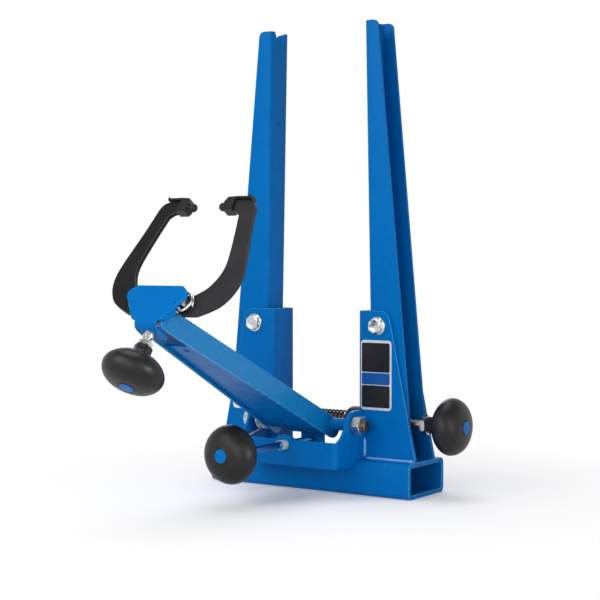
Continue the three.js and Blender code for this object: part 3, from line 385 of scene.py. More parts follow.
class Finish:
    """A material whose colour, roughness and bump come from its own nodes."""

    def __init__(self, name, colour, roughness, **sockets):
        self.material = bpy.data.materials.new(name)
        self.material.use_nodes = True
        self.tree = self.material.node_tree
        self.shader = self.tree.nodes["Principled BSDF"]
        self.shader.inputs["Base Color"].default_value = (*colour, 1)
        self.shader.inputs["Roughness"].default_value = roughness
        for socket, value in sockets.items():
            self.shader.inputs[socket.replace("_", " ")].default_value = value
        self.colour = colour
        self.roughness = roughness
        self.where = self.tree.nodes.new("ShaderNodeTexCoord").outputs["Object"]
        self.height = None

    def join(self, source, target):
        self.tree.links.new(source, target)

    def noise(self, scale, detail):
        noise = self.tree.nodes.new("ShaderNodeTexNoise")
        noise.inputs["Scale"].default_value = scale
        noise.inputs["Detail"].default_value = detail
        self.join(self.where, noise.inputs["Vector"])
        return noise.outputs["Fac"]

    def mottle(self, scale, darker, lighter, detail=3):
        """Varies the base colour between two multiples of it."""
        mix = self.tree.nodes.new("ShaderNodeMix")
        mix.data_type = "RGBA"
        mix.inputs["A"].default_value = (*(c * darker for c in self.colour), 1)
        mix.inputs["B"].default_value = (*(min(1, c * lighter) for c in self.colour), 1)
        self.join(carried(self.tree, self.noise(scale, detail), NOISE_RANGE), mix.inputs["Factor"])
        self.join(mix.outputs["Result"], self.shader.inputs["Base Color"])
        return self

    def rough(self, scale, less, more, detail=3):
        """Varies the roughness between a little less and a little more."""
        limits = (self.roughness - less, self.roughness + more)
        varied = carried(self.tree, self.noise(scale, detail), NOISE_RANGE, limits)
        self.join(varied, self.shader.inputs["Roughness"])
        return self

    def grain(self, scale, depth, strength=1.0, detail=2):
        """Adds a fine relief of the given depth in millimetres."""
        bump = self.tree.nodes.new("ShaderNodeBump")
        bump.inputs["Distance"].default_value = depth * MM
        bump.inputs["Strength"].default_value = strength
        self.join(self.noise(scale, detail), bump.inputs["Height"])
        if self.height:
            self.join(self.height, bump.inputs["Normal"])
        self.height = bump.outputs["Normal"]
        self.join(self.height, self.shader.inputs["Normal"])
        return self


def paint(name, colour, roughness, specular):
    made = Finish(name, colour, roughness, Specular_IOR_Level=specular)
    made.mottle(scale=9, darker=0.98, lighter=1.02).rough(scale=70, less=0.04, more=0.07)
    made.grain(scale=420, depth=0.03).grain(scale=60, depth=0.05, strength=0.5)
    return made.material


def coat(name, colour, roughness, specular=0.12, relief=0.03):
    made = Finish(name, colour, roughness, Specular_IOR_Level=specular)
    made.mottle(scale=40, darker=0.85, lighter=1.2).rough(scale=120, less=0.06, more=0.08)
    made.grain(scale=900, depth=relief).grain(scale=110, depth=relief, strength=0.5)
    return made.material


def plastic(name, colour, roughness):
    made = Finish(name, colour, roughness, Specular_IOR_Level=0.28)
    made.mottle(scale=55, darker=0.9, lighter=1.12).rough(scale=90, less=0.05, more=0.06)
    made.grain(scale=1500, depth=0.02)
    return made.material


def steel(name, colour, roughness):
    made = Finish(name, colour, roughness, Metallic=1.0)
    made.mottle(scale=260, darker=0.8, lighter=1.08, detail=4).rough(scale=180, less=0.08, more=0.12)
    made.grain(scale=700, depth=0.02, detail=3)
    return made.material


def print_ink(name, colour, roughness, metallic=0.0, specular=0.4):
    made = Finish(name, colour, roughness, Metallic=metallic, Specular_IOR_Level=specular)
    made.mottle(scale=30, darker=0.92, lighter=1.08).rough(scale=50, less=0.04, more=0.05)
    made.grain(scale=240, depth=0.01)
    return made.material


# A lighter copy of a colour for rounded edges: a painted highlight.
def painted_highlight(colour):
    return tuple(c * PAINTED_HIGHLIGHT_FACTOR for c in colour)


blue_paint = paint("blue powder coat", BLUE, roughness=0.26, specular=0.05)
# Rounded edges of the blue parts get a lighter blue, a painted highlight.
blue_edge_highlight = paint("blue powder coat, painted highlight on edges", BLUE_EDGE_HIGHLIGHT, roughness=0.24, specular=0.2)
# Weld beads get a lighter blue, a painted highlight.
weld_paint_highlight = paint("blue powder coat over weld beads", BLUE_WELD_HIGHLIGHT, roughness=0.3, specular=0.35)
# The arm's sides are glossier, and their lighter blue is painted light.
arm_paint_lit = paint("blue powder coat, glossier on the arm's sides", ARM_BLUE_LIT, roughness=0.24, specular=0.28)
leg_black = coat("satin black coat", LEG_BLACK, roughness=0.42)
# The right leg's coat is lightened: painted light, not wear.
leg_black_lit = coat("satin black coat, lightened as painted light", LEG_BLACK_LIT, roughness=0.42)
# The legs' rounded edges get a lighter coat, a painted highlight.
leg_black_edge_highlight = coat(
    "satin black coat, worn on edges", painted_highlight(LEG_BLACK), roughness=0.34, specular=0.3, relief=0.004,
)
leg_black_lit_edge_highlight = coat("satin black coat, lightened, worn on edges", painted_highlight(LEG_BLACK_LIT), roughness=0.34, specular=0.4, relief=0.004)
# The right leg takes the lightened coat and its edges, painted light.
LEG_FINISHES = {"right": [leg_black_lit, leg_black_lit_edge_highlight], "left": [leg_black, leg_black_edge_highlight]}
knob_plastic = plastic("moulded black plastic", PLASTIC, roughness=0.38)
nylon = plastic("pale nylon", NYLON, roughness=0.4)
zinc = steel("bright zinc plate", ZINC, roughness=0.24)
rod_steel = steel("oiled threaded steel", ROD, roughness=0.36)
# Steel tinted blue as a painted reflection of the paint around it.
rod_blue_reflection = steel("rod under the arm, tinted blue as a painted reflection", ROD_BLUE_REFLECTION, roughness=0.3)
bronze = steel("dark bronze collar", BRONZE, roughness=0.34)
wire_steel = steel("plated spring wire", WIRE, roughness=0.3)
spring_black = coat("black oxide spring wire", SPRING_BLACK, roughness=0.36)
badge_blue = print_ink("blue badge", BADGE, roughness=0.28, specular=0.08)
label_silver = print_ink("silver label border", SILVER, roughness=0.32, metallic=0.35)
label_ink = print_ink("black label panel", INK, roughness=0.3)
label_blue = print_ink("blue label band", LABEL_BLUE, roughness=0.3)
LABEL_INKS = [label_silver, label_ink, label_blue]


# Making pieces
def finished(name, work, finish, body, replaced=()):
    """Turns a bmesh in metres into a smooth piece that rides on a body and stands for CAD nodes."""
    mesh = bpy.data.meshes.new(name)
    work.to_mesh(mesh)
    work.free()
    for material in finish:
        mesh.materials.append(material)
    mesh.shade_smooth()
    mesh.set_sharp_from_angle(angle=math.radians(SMOOTH_DEGREES))
    piece = bpy.data.objects.new(name, mesh)
    bpy.context.scene.collection.objects.link(piece)
    if body:
        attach(piece, body)
    if replaced:
        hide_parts(*replaced)
    return piece


def cut_off(work, place, direction):
    """Leaves off what lies behind a plane and closes the opening."""
    parts = bmesh.ops.bisect_plane(
        work, geom=[*work.verts, *work.edges, *work.faces], plane_co=place, plane_no=direction,
        clear_inner=True,
    )
    rim = [part for part in parts["geom_cut"] if isinstance(part, bmesh.types.BMEdge)]
    bmesh.ops.holes_fill(work, edges=rim)


def dressed(node, body, finish, width=EDGE, cuts=()):
    """A copy of a CAD node with rounded edges, which carry the second finish.

    A cut is a place, in metres, and a direction: what lies behind that plane is left off.
    """
    work = bmesh.new()
    work.from_mesh(nodes[node].data)
    for face in work.faces:
        face.material_index = 0
    bmesh.ops.remove_doubles(work, verts=work.verts, dist=SAME_PLACE * MM)
    for place, direction in cuts:
        cut_off(work, place, direction)
    bmesh.ops.dissolve_limit(
        work, angle_limit=math.radians(FLAT_DEGREES), verts=work.verts, edges=work.edges,
    )
    sharp = [
        edge for edge in work.edges
        if len(edge.link_faces) == 2 and edge.calc_face_angle() > math.radians(SMOOTH_DEGREES)
    ]
    bmesh.ops.bevel(
        work, geom=sharp, offset=width * MM, offset_type="OFFSET", segments=EDGE_STEPS, profile=0.5,
        affect="EDGES", clamp_overlap=True, material=1,
    )
    piece = finished(f"{node}_finished", work, finish, body, [node])
    weighted = piece.modifiers.new("even shading", "WEIGHTED_NORMAL")
    weighted.keep_sharp = True
    weighted.weight = SHADING_WEIGHT
    return piece


def polar(work, rows, place, steps=ROUND_STEPS, closed=False):
    """Adds a piece of revolution to work.

    A row is (radius, distance), or a function of the angle giving it.
    """
    rings = []
    angles = [2 * math.pi * step / steps for step in range(steps)]
    for row in rows:
        pairs = [row(angle) if callable(row) else row for angle in angles]
        if not callable(row) and row[0] == 0:
            rings.append([work.verts.new(place @ Vector((0, 0, row[1])) * MM)])
            continue
        rings.append([
            work.verts.new(place @ Vector((r * math.cos(a), r * math.sin(a), d)) * MM)
            for a, (r, d) in zip(angles, pairs)
        ])
    if closed:
        rings.append(rings[0])
    for low, high in zip(rings, rings[1:]):
        for step in range(steps):
            after = (step + 1) % steps
            corners = [
                low[step % len(low)], low[after % len(low)], high[after % len(high)], high[step % len(high)],
            ]
            work.faces.new(list(dict.fromkeys(corners)))
    return work


def outward(work):
    bmesh.ops.recalc_face_normals(work, faces=work.faces)
    return work


def softened(points, radius, closed=False):
    """The same profile with each corner cut by a small round."""
    result = []
    count = len(points)
    for i, (r, d) in enumerate(points):
        if not closed and i in (0, count - 1):
            result.append((r, d))
            continue
        here = Vector((r, d))
        back = Vector(points[i - 1]) - here
        onward = Vector(points[(i + 1) % count]) - here
        reach = min(radius, back.length * ROUND_SHARE, onward.length * ROUND_SHARE)
        start = here + back.normalized() * reach
        end = here + onward.normalized() * reach
        middle = (start + end) / 2 * (1 - CORNER_SHARE) + here * CORNER_SHARE
        result.extend([tuple(start), tuple(middle), tuple(end)])
    return result


def turned(name, points, place, body, finish, replaced=(), round_off=ROUND_OFF):
    """A turned piece from (radius, distance) points. A profile off the axis closes on itself."""
    closed = points[0][0] > 0
    work = polar(bmesh.new(), softened(points, round_off, closed), place, closed=closed)
    return finished(name, outward(work), finish, body, replaced)


def sleeve(name, bore, radius, start, end, place, body, slot, finish, replaced=(), round_off=ROUND_OFF):
    """A turned ring or tube between two levels."""
    points = [(bore, start), (radius, start), (radius, end), (bore, end)]
    return turned(name, points, place, body, finish, replaced, round_off)


def hexagon(flats, angle):
    """Distance from a hexagon's centre to its side, in the direction of angle."""
    return flats / 2 / math.cos((angle + math.pi / 6) % (math.pi / 3) - math.pi / 6)


def hex_rows(flats, start, end, bore, chamfer_start=True, chamfer_end=True, turn=0.0):
    """Rows of a hexagon nut or head with turned chamfers."""
    face = flats / 2 * HEX_FACE_SHARE
    drop = math.tan(math.radians(HEX_CHAMFER_DEGREES))

    def edge(level, direction, chamfered):
        def row(angle):
            reach = hexagon(flats, angle + turn)
            sink = (reach - face) * drop if chamfered else 0
            return reach, level + direction * sink
        return row

    rows = [
        (bore, start), (face, start), edge(start, 1, chamfer_start), edge(end, -1, chamfer_end), (face, end),
    ]
    if bore > 0:
        lead = min(HEX_LEAD, (end - start) * HEX_LEAD_SHARE)
        return [
            (bore, start + lead), (bore + lead, start), *rows[1:], (bore + lead, end), (bore, end - lead),
        ]
    return [*rows, (0, end)]


def thread_rows(radius, pitch, start, end, hand=1):
    """Rows of a threaded length between two levels, fading out at both ends."""
    depth = pitch * THREAD_DEPTH_SHARE
    count = round((end - start) / pitch * THREAD_ROWS)

    def ring(level):
        fade = min(1, (level - start) / pitch, (end - level) / pitch)

        def row(angle):
            phase = (level / pitch - hand * angle / (2 * math.pi)) % 1
            wave = min(1, max(0, THREAD_SLOPE * (1 - abs(2 * phase - 1)) - THREAD_ROOT))
            return radius - depth * (1 - wave * fade), level
        return row

    return [ring(start + (end - start) * i / count) for i in range(count + 1)]


def threaded_rod(name, radius, pitch, spans, start, end, place, body, finish, replaced):
    """A rod with threads over the given spans and plain lengths between."""
    chamfer = pitch * ROD_CHAMFER_SHARE
    rows = [(0, start), (radius - chamfer, start), (radius - chamfer / 2, start + chamfer)]
    for low, high, hand in spans:
        rows.extend(thread_rows(radius, pitch, low, high, hand))
    rows.extend([(radius - chamfer / 2, end - chamfer), (radius - chamfer, end), (0, end)])
    work = polar(bmesh.new(), rows, place, THREAD_STEPS)
    return finished(name, outward(work), finish, body, replaced)


def catmull(points, count):
    """Points on a smooth curve through the given ones."""
    result = []
    last = len(points) - 1
    for i in range(count + 1):
        place = i / count * last
        k = min(int(place), last - 1)
        t = place - k
        p = [Vector(points[min(max(k + j, 0), last)]) for j in (-1, 0, 1, 2)]
        point = (
            p[1] * 2 + (p[2] - p[0]) * t + (p[0] * 2 - p[1] * 5 + p[2] * 4 - p[3]) * t * t
            + (p[1] * 3 - p[0] - p[2] * 3 + p[3]) * t * t * t
        ) / 2
        result.append(tuple(point))
    return result


def smooth_path(points, times=2):
    """Corners of a path cut twice, with its ends kept."""
    for _ in range(times):
        cut = [points[0]]
        for a, b in zip(points, points[1:]):
            cut.extend([a.lerp(b, CUT_SHARE), a.lerp(b, 1 - CUT_SHARE)])
        cut.append(points[-1])
        points = cut
    return points


def swept(work, path, radius, place=WORLD, sides=WIRE_SIDES, flat=1.0, capped=(True, True)):
    """Adds a tube along a path to work. The radius may be a function of the share of the way along."""
    rings = []
    forward = (path[1] - path[0]).normalized()
    across = forward.orthogonal().normalized()
    for i, centre in enumerate(path):
        ahead = (path[min(i + 1, len(path) - 1)] - path[max(i - 1, 0)]).normalized()
        across = (forward.rotation_difference(ahead) @ across).normalized()
        forward = ahead
        up = forward.cross(across)
        size = radius(i / (len(path) - 1)) if callable(radius) else radius
        ring = []
        for side in range(sides):
            angle = 2 * math.pi * side / sides
            corner = centre + across * size * math.cos(angle) + up * size * flat * math.sin(angle)
            ring.append(work.verts.new(place @ corner * MM))
        rings.append(ring)
    for low, high in zip(rings, rings[1:]):
        for side in range(sides):
            after = (side + 1) % sides
            work.faces.new((low[side], low[after], high[after], high[side]))
    if capped[0]:
        work.faces.new(rings[0][::-1])
    if capped[1]:
        work.faces.new(rings[-1])
    return work


def around(radius, angle, level):
    return Vector((radius * math.cos(angle), radius * math.sin(angle), level))


def helix(radius, turns, start, end, start_angle=0.0):
    steps = round(turns * WIRE_STEPS)
    sweep = 2 * math.pi * turns
    rise = end - start
    return [
        around(radius, start_angle + sweep * step / steps, start + rise * step / steps)
        for step in range(steps + 1)
    ]


def seated(spring, from_seat, to_seat, start_angle=0.0):
    """The path of a spring whose ends turn square to two flat seats."""
    wire, radius, turns = spring
    low = from_seat + FIT_GAP
    high = to_seat - FIT_GAP
    rise = wire * (1 + SPRING_BEND_SHARE)
    bend = wire / radius
    first = start_angle - bend
    last = start_angle + 2 * math.pi * turns + bend
    return [
        around(radius, first, low), around(radius, first, low + wire),
        *helix(radius, turns, low + rise, high - rise, start_angle),
        around(radius, last, high - wire), around(radius, last, high),
    ]


# Sheet metal and tube, with rounded edges
def sheet_metal():
    for node, body in (
        ("base_tube", "frame"), ("bracket_right", "frame"), ("bracket_left", "frame"),
        ("front_bracket", "frame"), ("upright_right", "upright_right_body"),
        ("upright_left", "upright_left_body"), ("arm_web", "arm_body"), ("calliper_plate", "arm_body"),
    ):
        dressed(node, body, [blue_paint, blue_edge_highlight])


def head_plane(point, normal):
    """A plane of the calliper head, for a cut."""
    return CALLIPER @ Vector(point) * MM, CALLIPER.to_3x3() @ Vector(normal)


def arm_and_legs():
    for side, word in SIDES:
        leg_body = f"leg_{word}_body"
        dressed(f"arm_side_{word}", "arm_body", [arm_paint_lit, blue_edge_highlight])
        dressed(f"leg_{word}", leg_body, LEG_FINISHES[word], LEG_EDGE)
        cuts = [
            head_plane((0, PAD_BOTTOM, 0), (0, 1, 0)),
            head_plane((side * PAD_OUTER, 0, 0), (-side, 0, 0)),
        ]
        dressed(f"pad_{word}", leg_body, [knob_plastic, knob_plastic], PAD_EDGE, cuts)
    dressed("calliper_slider", "calliper_thrust", [rod_steel, rod_steel], SLIDER_EDGE)


# Knobs
def neck_reach(angle):
    """Distance from the axis to the side of a knob's hexagonal neck."""
    flat_radius = hexagon(KNOB_NECK_RADIUS * math.sqrt(3), angle)
    return min(flat_radius, KNOB_NECK_RADIUS * KNOB_NECK_ROUND_SHARE)


def neck_row(level, share):
    def row(angle):
        return neck_reach(angle) * share, level
    return row


def blend_row(radius, level, hexness):
    """A row between the round head and the hexagonal neck."""
    def row(angle):
        return radius * (1 - hexness) + neck_reach(angle) * radius / KNOB_NECK_RADIUS * hexness, level
    return row


def knob(words, place, body, rod_radius):
    """A mushroom knob with a hexagonal neck, its badge in a recess."""
    bore = rod_radius + BORE_GAP
    rows = [(0, KNOB_SOCKET), (bore, KNOB_SOCKET), (bore, KNOB_MOUTH), (bore + KNOB_MOUTH, 0)]
    rows.extend(neck_row(level, share) for level, share in KNOB_NECK_ROWS)
    for radius, level in catmull(KNOB_PROFILE, KNOB_ROWS):
        hexness = max(0, 1 - (level - KNOB_PROFILE[0][1]) / KNOB_BLEND) * KNOB_HEX_SHARE
        rows.append(blend_row(radius, level, hexness) if hexness > 0 else (radius, level))
    lip = BADGE_RADIUS + FIT_GAP
    rows.extend([
        (lip + BADGE_LIP, BADGE_FACE - BADGE_LIP), (lip, BADGE_FACE - BADGE_LIP_DROP), (lip, BADGE_RECESS),
        (0, BADGE_RECESS),
    ])
    work = polar(bmesh.new(), rows, place, KNOB_STEPS)
    finished(
        f"{words}_knob_finished", outward(work), [knob_plastic], body, [f"{words}_knob"],
    )
    badge(words, place, body)


def badge(words, place, body):
    """A badge's disc and the rim round it."""
    seat = BADGE_RECESS + BADGE_SEAT
    edge = BADGE_RADIUS - BADGE_DISC_INSET
    turned(
        f"{words}_badge_disc",
        [(0, seat), (edge, seat), (edge, BADGE_FACE),
         (BADGE_RADIUS - BADGE_DOME_INSET, BADGE_FACE + BADGE_DOME_RISE[0]),
         (0, BADGE_FACE + BADGE_DOME_RISE[1])],
        place, body, [badge_blue], [f"{words}_badge"], BADGE_DISC_ROUND,
    )
    inner = BADGE_RADIUS - BADGE_RIM_INSET
    turned(
        f"{words}_badge_rim",
        [(inner, seat), (BADGE_RADIUS, seat), (BADGE_RADIUS, BADGE_FACE - BADGE_RIM_DROP[0]),
         (inner, BADGE_FACE - BADGE_RIM_DROP[1])],
        place, body, [knob_plastic], round_off=BADGE_RIM_ROUND,
    )


def knobs():
    spread_place = axis_place((SPREAD_KNOB_X, FRAME_CENTRE_Y, SPREAD_Z), (1, 0, 0))
    arm_screw_place = axis_place((0, ARM_KNOB_Y, ARM_SCREW_Z), (0, -1, 0))
    calliper_screw_place = CALLIPER @ axis_place((0, CALLIPER_KNOB_Y, CALLIPER_SCREW_Z), (0, -1, 0))
    knob("spread", spread_place, "spread_screw", SPREAD_ROD_RADIUS)
    knob("arm_screw", arm_screw_place, "arm_screw", SMALL_ROD_RADIUS)
    knob("calliper", calliper_screw_place, "calliper_screw", SMALL_ROD_RADIUS)


# Fasteners
def bright(name, work, body, replaced):
    return finished(name, outward(work), [zinc], body, replaced)


def nut(node, flats, start, end, rod_radius, place, body, turn=0.0):
    rows = hex_rows(flats, start, end, rod_radius + BORE_GAP, turn=turn)
    return bright(f"{node}_finished", polar(bmesh.new(), rows, place, HEX_STEPS, True), body, [node])


def flange_rows():
    """The outside of a flange, from its seat up to the foot of the hexagon."""
    return [
        (FLANGE_RADIUS - FLANGE_ROUND, 0), (FLANGE_RADIUS, FLANGE_EDGE),
        (FLANGE_RADIUS - FLANGE_SLOPE, FLANGE_RIM), (BOLT_FLATS / 2 + FLANGE_FILLET, FLANGE_TOP),
    ]


def upright_bolt(x, word):
    """A flanged bolt with a dished head, through a bracket and its upright."""
    head = axis_place((x, BRACKET_FRONT_Y, PIVOT_Z), (0, -1, 0))
    hexagon_rows = hex_rows(BOLT_FLATS, BOLT_HEX_FROM, BOLT_HEAD, 0, chamfer_start=False)
    rows = [(0, 0), *flange_rows(), *hexagon_rows[2:4]]
    rows.extend([
        (BOLT_FLATS / 2 - BOLT_DISH_RIM, BOLT_HEAD),
        (BOLT_FLATS / 2 - BOLT_DISH_FLOOR, BOLT_HEAD - BOLT_DISH_DEPTH), (0, BOLT_HEAD - BOLT_DISH_CENTRE),
    ])
    work = polar(bmesh.new(), rows, head, HEX_STEPS)
    end = BRACKET_FRONT_Y - BRACKET_REAR_Y - BOLT_END
    thread_from = end + BOLT_END_ROUND
    thread_to = end + BOLT_THREAD
    shank = [
        (0, end), (PIVOT_BOLT_RADIUS - BOLT_END_CHAMFER, end),
        (PIVOT_BOLT_RADIUS - BOLT_END_CHAMFER / 2, thread_from),
        *thread_rows(PIVOT_BOLT_RADIUS, BOLT_PITCH, thread_from, thread_to),
        (PIVOT_BOLT_RADIUS, thread_to + BOLT_RUNOUT), (PIVOT_BOLT_RADIUS, -BOLT_SINK), (0, -BOLT_SINK),
    ]
    polar(work, shank, head, THREAD_STEPS)
    bright(f"upright_bolt_{word}_finished", work, "frame", [f"upright_bolt_{word}"])


def upright_nut(x, word):
    """The flanged nut behind a bracket."""
    rear = axis_place((x, BRACKET_REAR_Y, PIVOT_Z), (0, 1, 0))
    bore = PIVOT_BOLT_RADIUS + BORE_GAP
    hexagon_rows = hex_rows(BOLT_FLATS, BOLT_HEX_FROM, BOLT_NUT, bore, chamfer_start=False)
    rows = [(bore, BOLT_NUT_MOUTH), *flange_rows(), *hexagon_rows[3:]]
    work = polar(bmesh.new(), rows, rear, HEX_STEPS, True)
    bright(f"upright_nut_{word}_finished", work, "frame", [f"upright_nut_{word}"])


def upright_fasteners():
    for side, word in SIDES:
        upright_bolt(side * PIVOT_X, word)
        upright_nut(side * PIVOT_X, word)


def arm_pivot():
    """The arm's pivot bolt, nut, end collar, washers and tube."""
    bore = PIVOT_BOLT_RADIUS + BORE_GAP
    washer_end = FRONT_HALF_WIDTH + PIVOT_WASHER
    nut_end = washer_end + PIVOT_NUT_HEIGHT
    collar_end = nut_end + PIVOT_COLLAR_HEIGHT
    bolt_end = nut_end + PIVOT_COLLAR_HEIGHT / 2
    head_end = -washer_end - PIVOT_HEAD_HEIGHT
    nut(
        "arm_pivot_nut", PIVOT_NUT_FLATS, washer_end, nut_end, PIVOT_BOLT_RADIUS, PIVOT_AXIS, "frame",
        PIVOT_NUT_TURN,
    )
    turned(
        "arm_pivot_collar",
        [(0, nut_end), (PIVOT_COLLAR_RADIUS, nut_end), (PIVOT_COLLAR_RADIUS, collar_end),
         (PIVOT_COLLAR_RADIUS - PIVOT_COLLAR_DOME, collar_end + PIVOT_COLLAR_DOME),
         (0, collar_end + PIVOT_COLLAR_DOME)],
        PIVOT_AXIS, "frame", [bronze],
    )
    head = hex_rows(PIVOT_NUT_FLATS, head_end, -washer_end, 0, chamfer_end=False, turn=PIVOT_NUT_TURN)
    work = polar(bmesh.new(), head, PIVOT_AXIS, HEX_STEPS)
    shank_from = -washer_end - PIVOT_BOLT_SINK
    tip = [(PIVOT_BOLT_RADIUS - inward, bolt_end - back) for inward, back in PIVOT_BOLT_TIP]
    shank = [(0, shank_from), (PIVOT_BOLT_RADIUS, shank_from), *tip, (0, bolt_end)]
    polar(work, shank, PIVOT_AXIS, THREAD_STEPS)
    bright("arm_pivot_bolt_finished", work, "frame", ["arm_pivot_bolt"])
    for start, word in ((FRONT_HALF_WIDTH, "right"), (-washer_end, "left")):
        node = f"arm_pivot_washer_{word}"
        sleeve(
            f"{node}_finished", bore, PIVOT_WASHER_RADIUS, start, start + PIVOT_WASHER, PIVOT_AXIS, "frame",
            "bright_steel", [zinc], [node], PIVOT_WASHER_ROUND,
        )
    sleeve(
        "arm_pivot_tube_finished", bore + PIVOT_TUBE_GAP, PIVOT_TUBE_RADIUS, -PIVOT_TUBE_HALF,
        PIVOT_TUBE_HALF, PIVOT_AXIS, "arm_body", "blue_paint", [blue_paint], ["arm_pivot_tube"],
    )


def cap_profile():
    """A spring cap's outside, rounded at its inner end and domed at its outer one."""
    bore = SPREAD_ROD_RADIUS + CAP_BORE_GAP
    cap_end = CAP_INNER_X + CAP_LENGTH
    dome_from = cap_end - CAP_DOME
    angles = [math.pi / 2 * step / QUARTER_STEPS for step in range(1, QUARTER_STEPS + 1)]
    inner_round = [
        (CAP_RADIUS - CAP_INNER_ROUND * (1 - math.sin(angle)),
         CAP_INNER_X + CAP_INNER_ROUND * CAP_INNER_STRETCH * (1 - math.cos(angle)))
        for angle in angles
    ]
    dome = [
        (CAP_NOSE + (CAP_RADIUS - CAP_NOSE) * math.cos(angle), dome_from + CAP_DOME * math.sin(angle))
        for angle in angles
    ]
    return [
        (bore, CAP_INNER_X), (CAP_RADIUS - CAP_INNER_ROUND, CAP_INNER_X), *inner_round,
        (CAP_RADIUS, dome_from), *dome, (bore, cap_end),
    ]


def spread_screw():
    """The spread screw and its jam nut, and each side's cap and threaded nut."""
    threads = [
        (SPREAD_ROD_LEFT + SPREAD_THREAD_LEAD, -SPREAD_THREAD_FROM, -1),
        (SPREAD_THREAD_FROM, SPREAD_THREAD_TO, 1),
    ]
    threaded_rod(
        "spread_rod_finished", SPREAD_ROD_RADIUS, SPREAD_PITCH, threads, SPREAD_ROD_LEFT, SPREAD_ROD_RIGHT,
        SPREAD_AXIS, "spread_screw", [rod_steel], ["spread_rod"],
    )
    nut(
        "spread_jam_nut", JAM_FLATS, SPREAD_JAM_X, SPREAD_JAM_X + JAM_HEIGHT, SPREAD_ROD_RADIUS, SPREAD_AXIS,
        "spread_screw",
    )
    for side, word in SIDES:
        carrier = f"spread_carrier_{word}"
        place = axis_place((0, FRAME_CENTRE_Y, SPREAD_Z), (side, 0, 0))
        turned(
            f"spring_cap_{word}_finished", cap_profile(), place, carrier, [knob_plastic],
            [f"spring_cap_{word}"],
        )
        dressed(f"spread_nut_{word}", carrier, [rod_steel, rod_steel], SPREAD_NUT_EDGE)


def arm_screw():
    """The arm screw, its bush and its tip."""
    sleeve(
        "arm_screw_bushing_finished", SMALL_ROD_RADIUS + FIT_GAP, ARM_BUSH_RADIUS, *ARM_BUSH, ARM_SCREW_AXIS,
        "frame", "bright_steel", [nylon], ["arm_screw_bushing"], ARM_BUSH_ROUND,
    )
    thread = (ARM_BUSH[0] - ARM_THREAD_BEFORE_BUSH, ARM_TIP_Y - ARM_THREAD_BEFORE_TIP, 1)
    threaded_rod(
        "arm_screw_rod_finished", SMALL_ROD_RADIUS, SMALL_PITCH, [thread],
        ARM_KNOB_Y - KNOB_SOCKET + FIT_GAP, ARM_TIP_Y - FIT_GAP, ARM_SCREW_AXIS, "arm_screw",
        [rod_blue_reflection], ["arm_screw_rod"],
    )
    dressed("arm_screw_tip", "arm_thrust", [rod_steel, rod_steel], ARM_TIP_EDGE)


def calliper_screw():
    """The calliper screw, its bush and nut, and the legs' pins."""
    sleeve(
        "calliper_bushing_finished", SMALL_ROD_RADIUS + FIT_GAP, CALLIPER_BUSH_RADIUS, *CALLIPER_BUSH,
        CALLIPER_AXIS, "arm_body", "bright_steel", [zinc], ["calliper_bushing"], CALLIPER_BUSH_ROUND,
    )
    threaded_rod(
        "calliper_screw_rod_finished", SMALL_ROD_RADIUS, SMALL_PITCH, [(*CALLIPER_THREAD, 1)],
        CALLIPER_KNOB_Y - KNOB_SOCKET + FIT_GAP, CALLIPER_ROD_END, CALLIPER_AXIS, "calliper_screw",
        [zinc], ["calliper_screw_rod"],
    )
    nut(
        "calliper_jam_nut", SMALL_JAM_FLATS, *CALLIPER_JAM, SMALL_ROD_RADIUS, CALLIPER_AXIS,
        "calliper_screw",
    )
    for side, word in SIDES:
        leg_pin(side, word)


def leg_pin(side, word):
    head = -LEG_THICKNESS - FIT_GAP
    end = PLATE_REAR_Z - FIT_GAP
    turned(
        f"leg_pin_{word}_finished",
        [(0, head - LEG_PIN_HEAD), (LEG_PIN_HEAD_RADIUS - LEG_PIN_CHAMFER, head - LEG_PIN_HEAD),
         (LEG_PIN_HEAD_RADIUS, head - LEG_PIN_CHAMFER), (LEG_PIN_HEAD_RADIUS, head), (LEG_PIN_RADIUS, head),
         (LEG_PIN_RADIUS, end), (0, end)],
        CALLIPER @ axis_place((side * LEG_PIVOT_X, LEG_PIVOT_Y, 0), (0, 0, 1)), "arm_body",
        [zinc], [f"leg_pin_{word}"],
    )


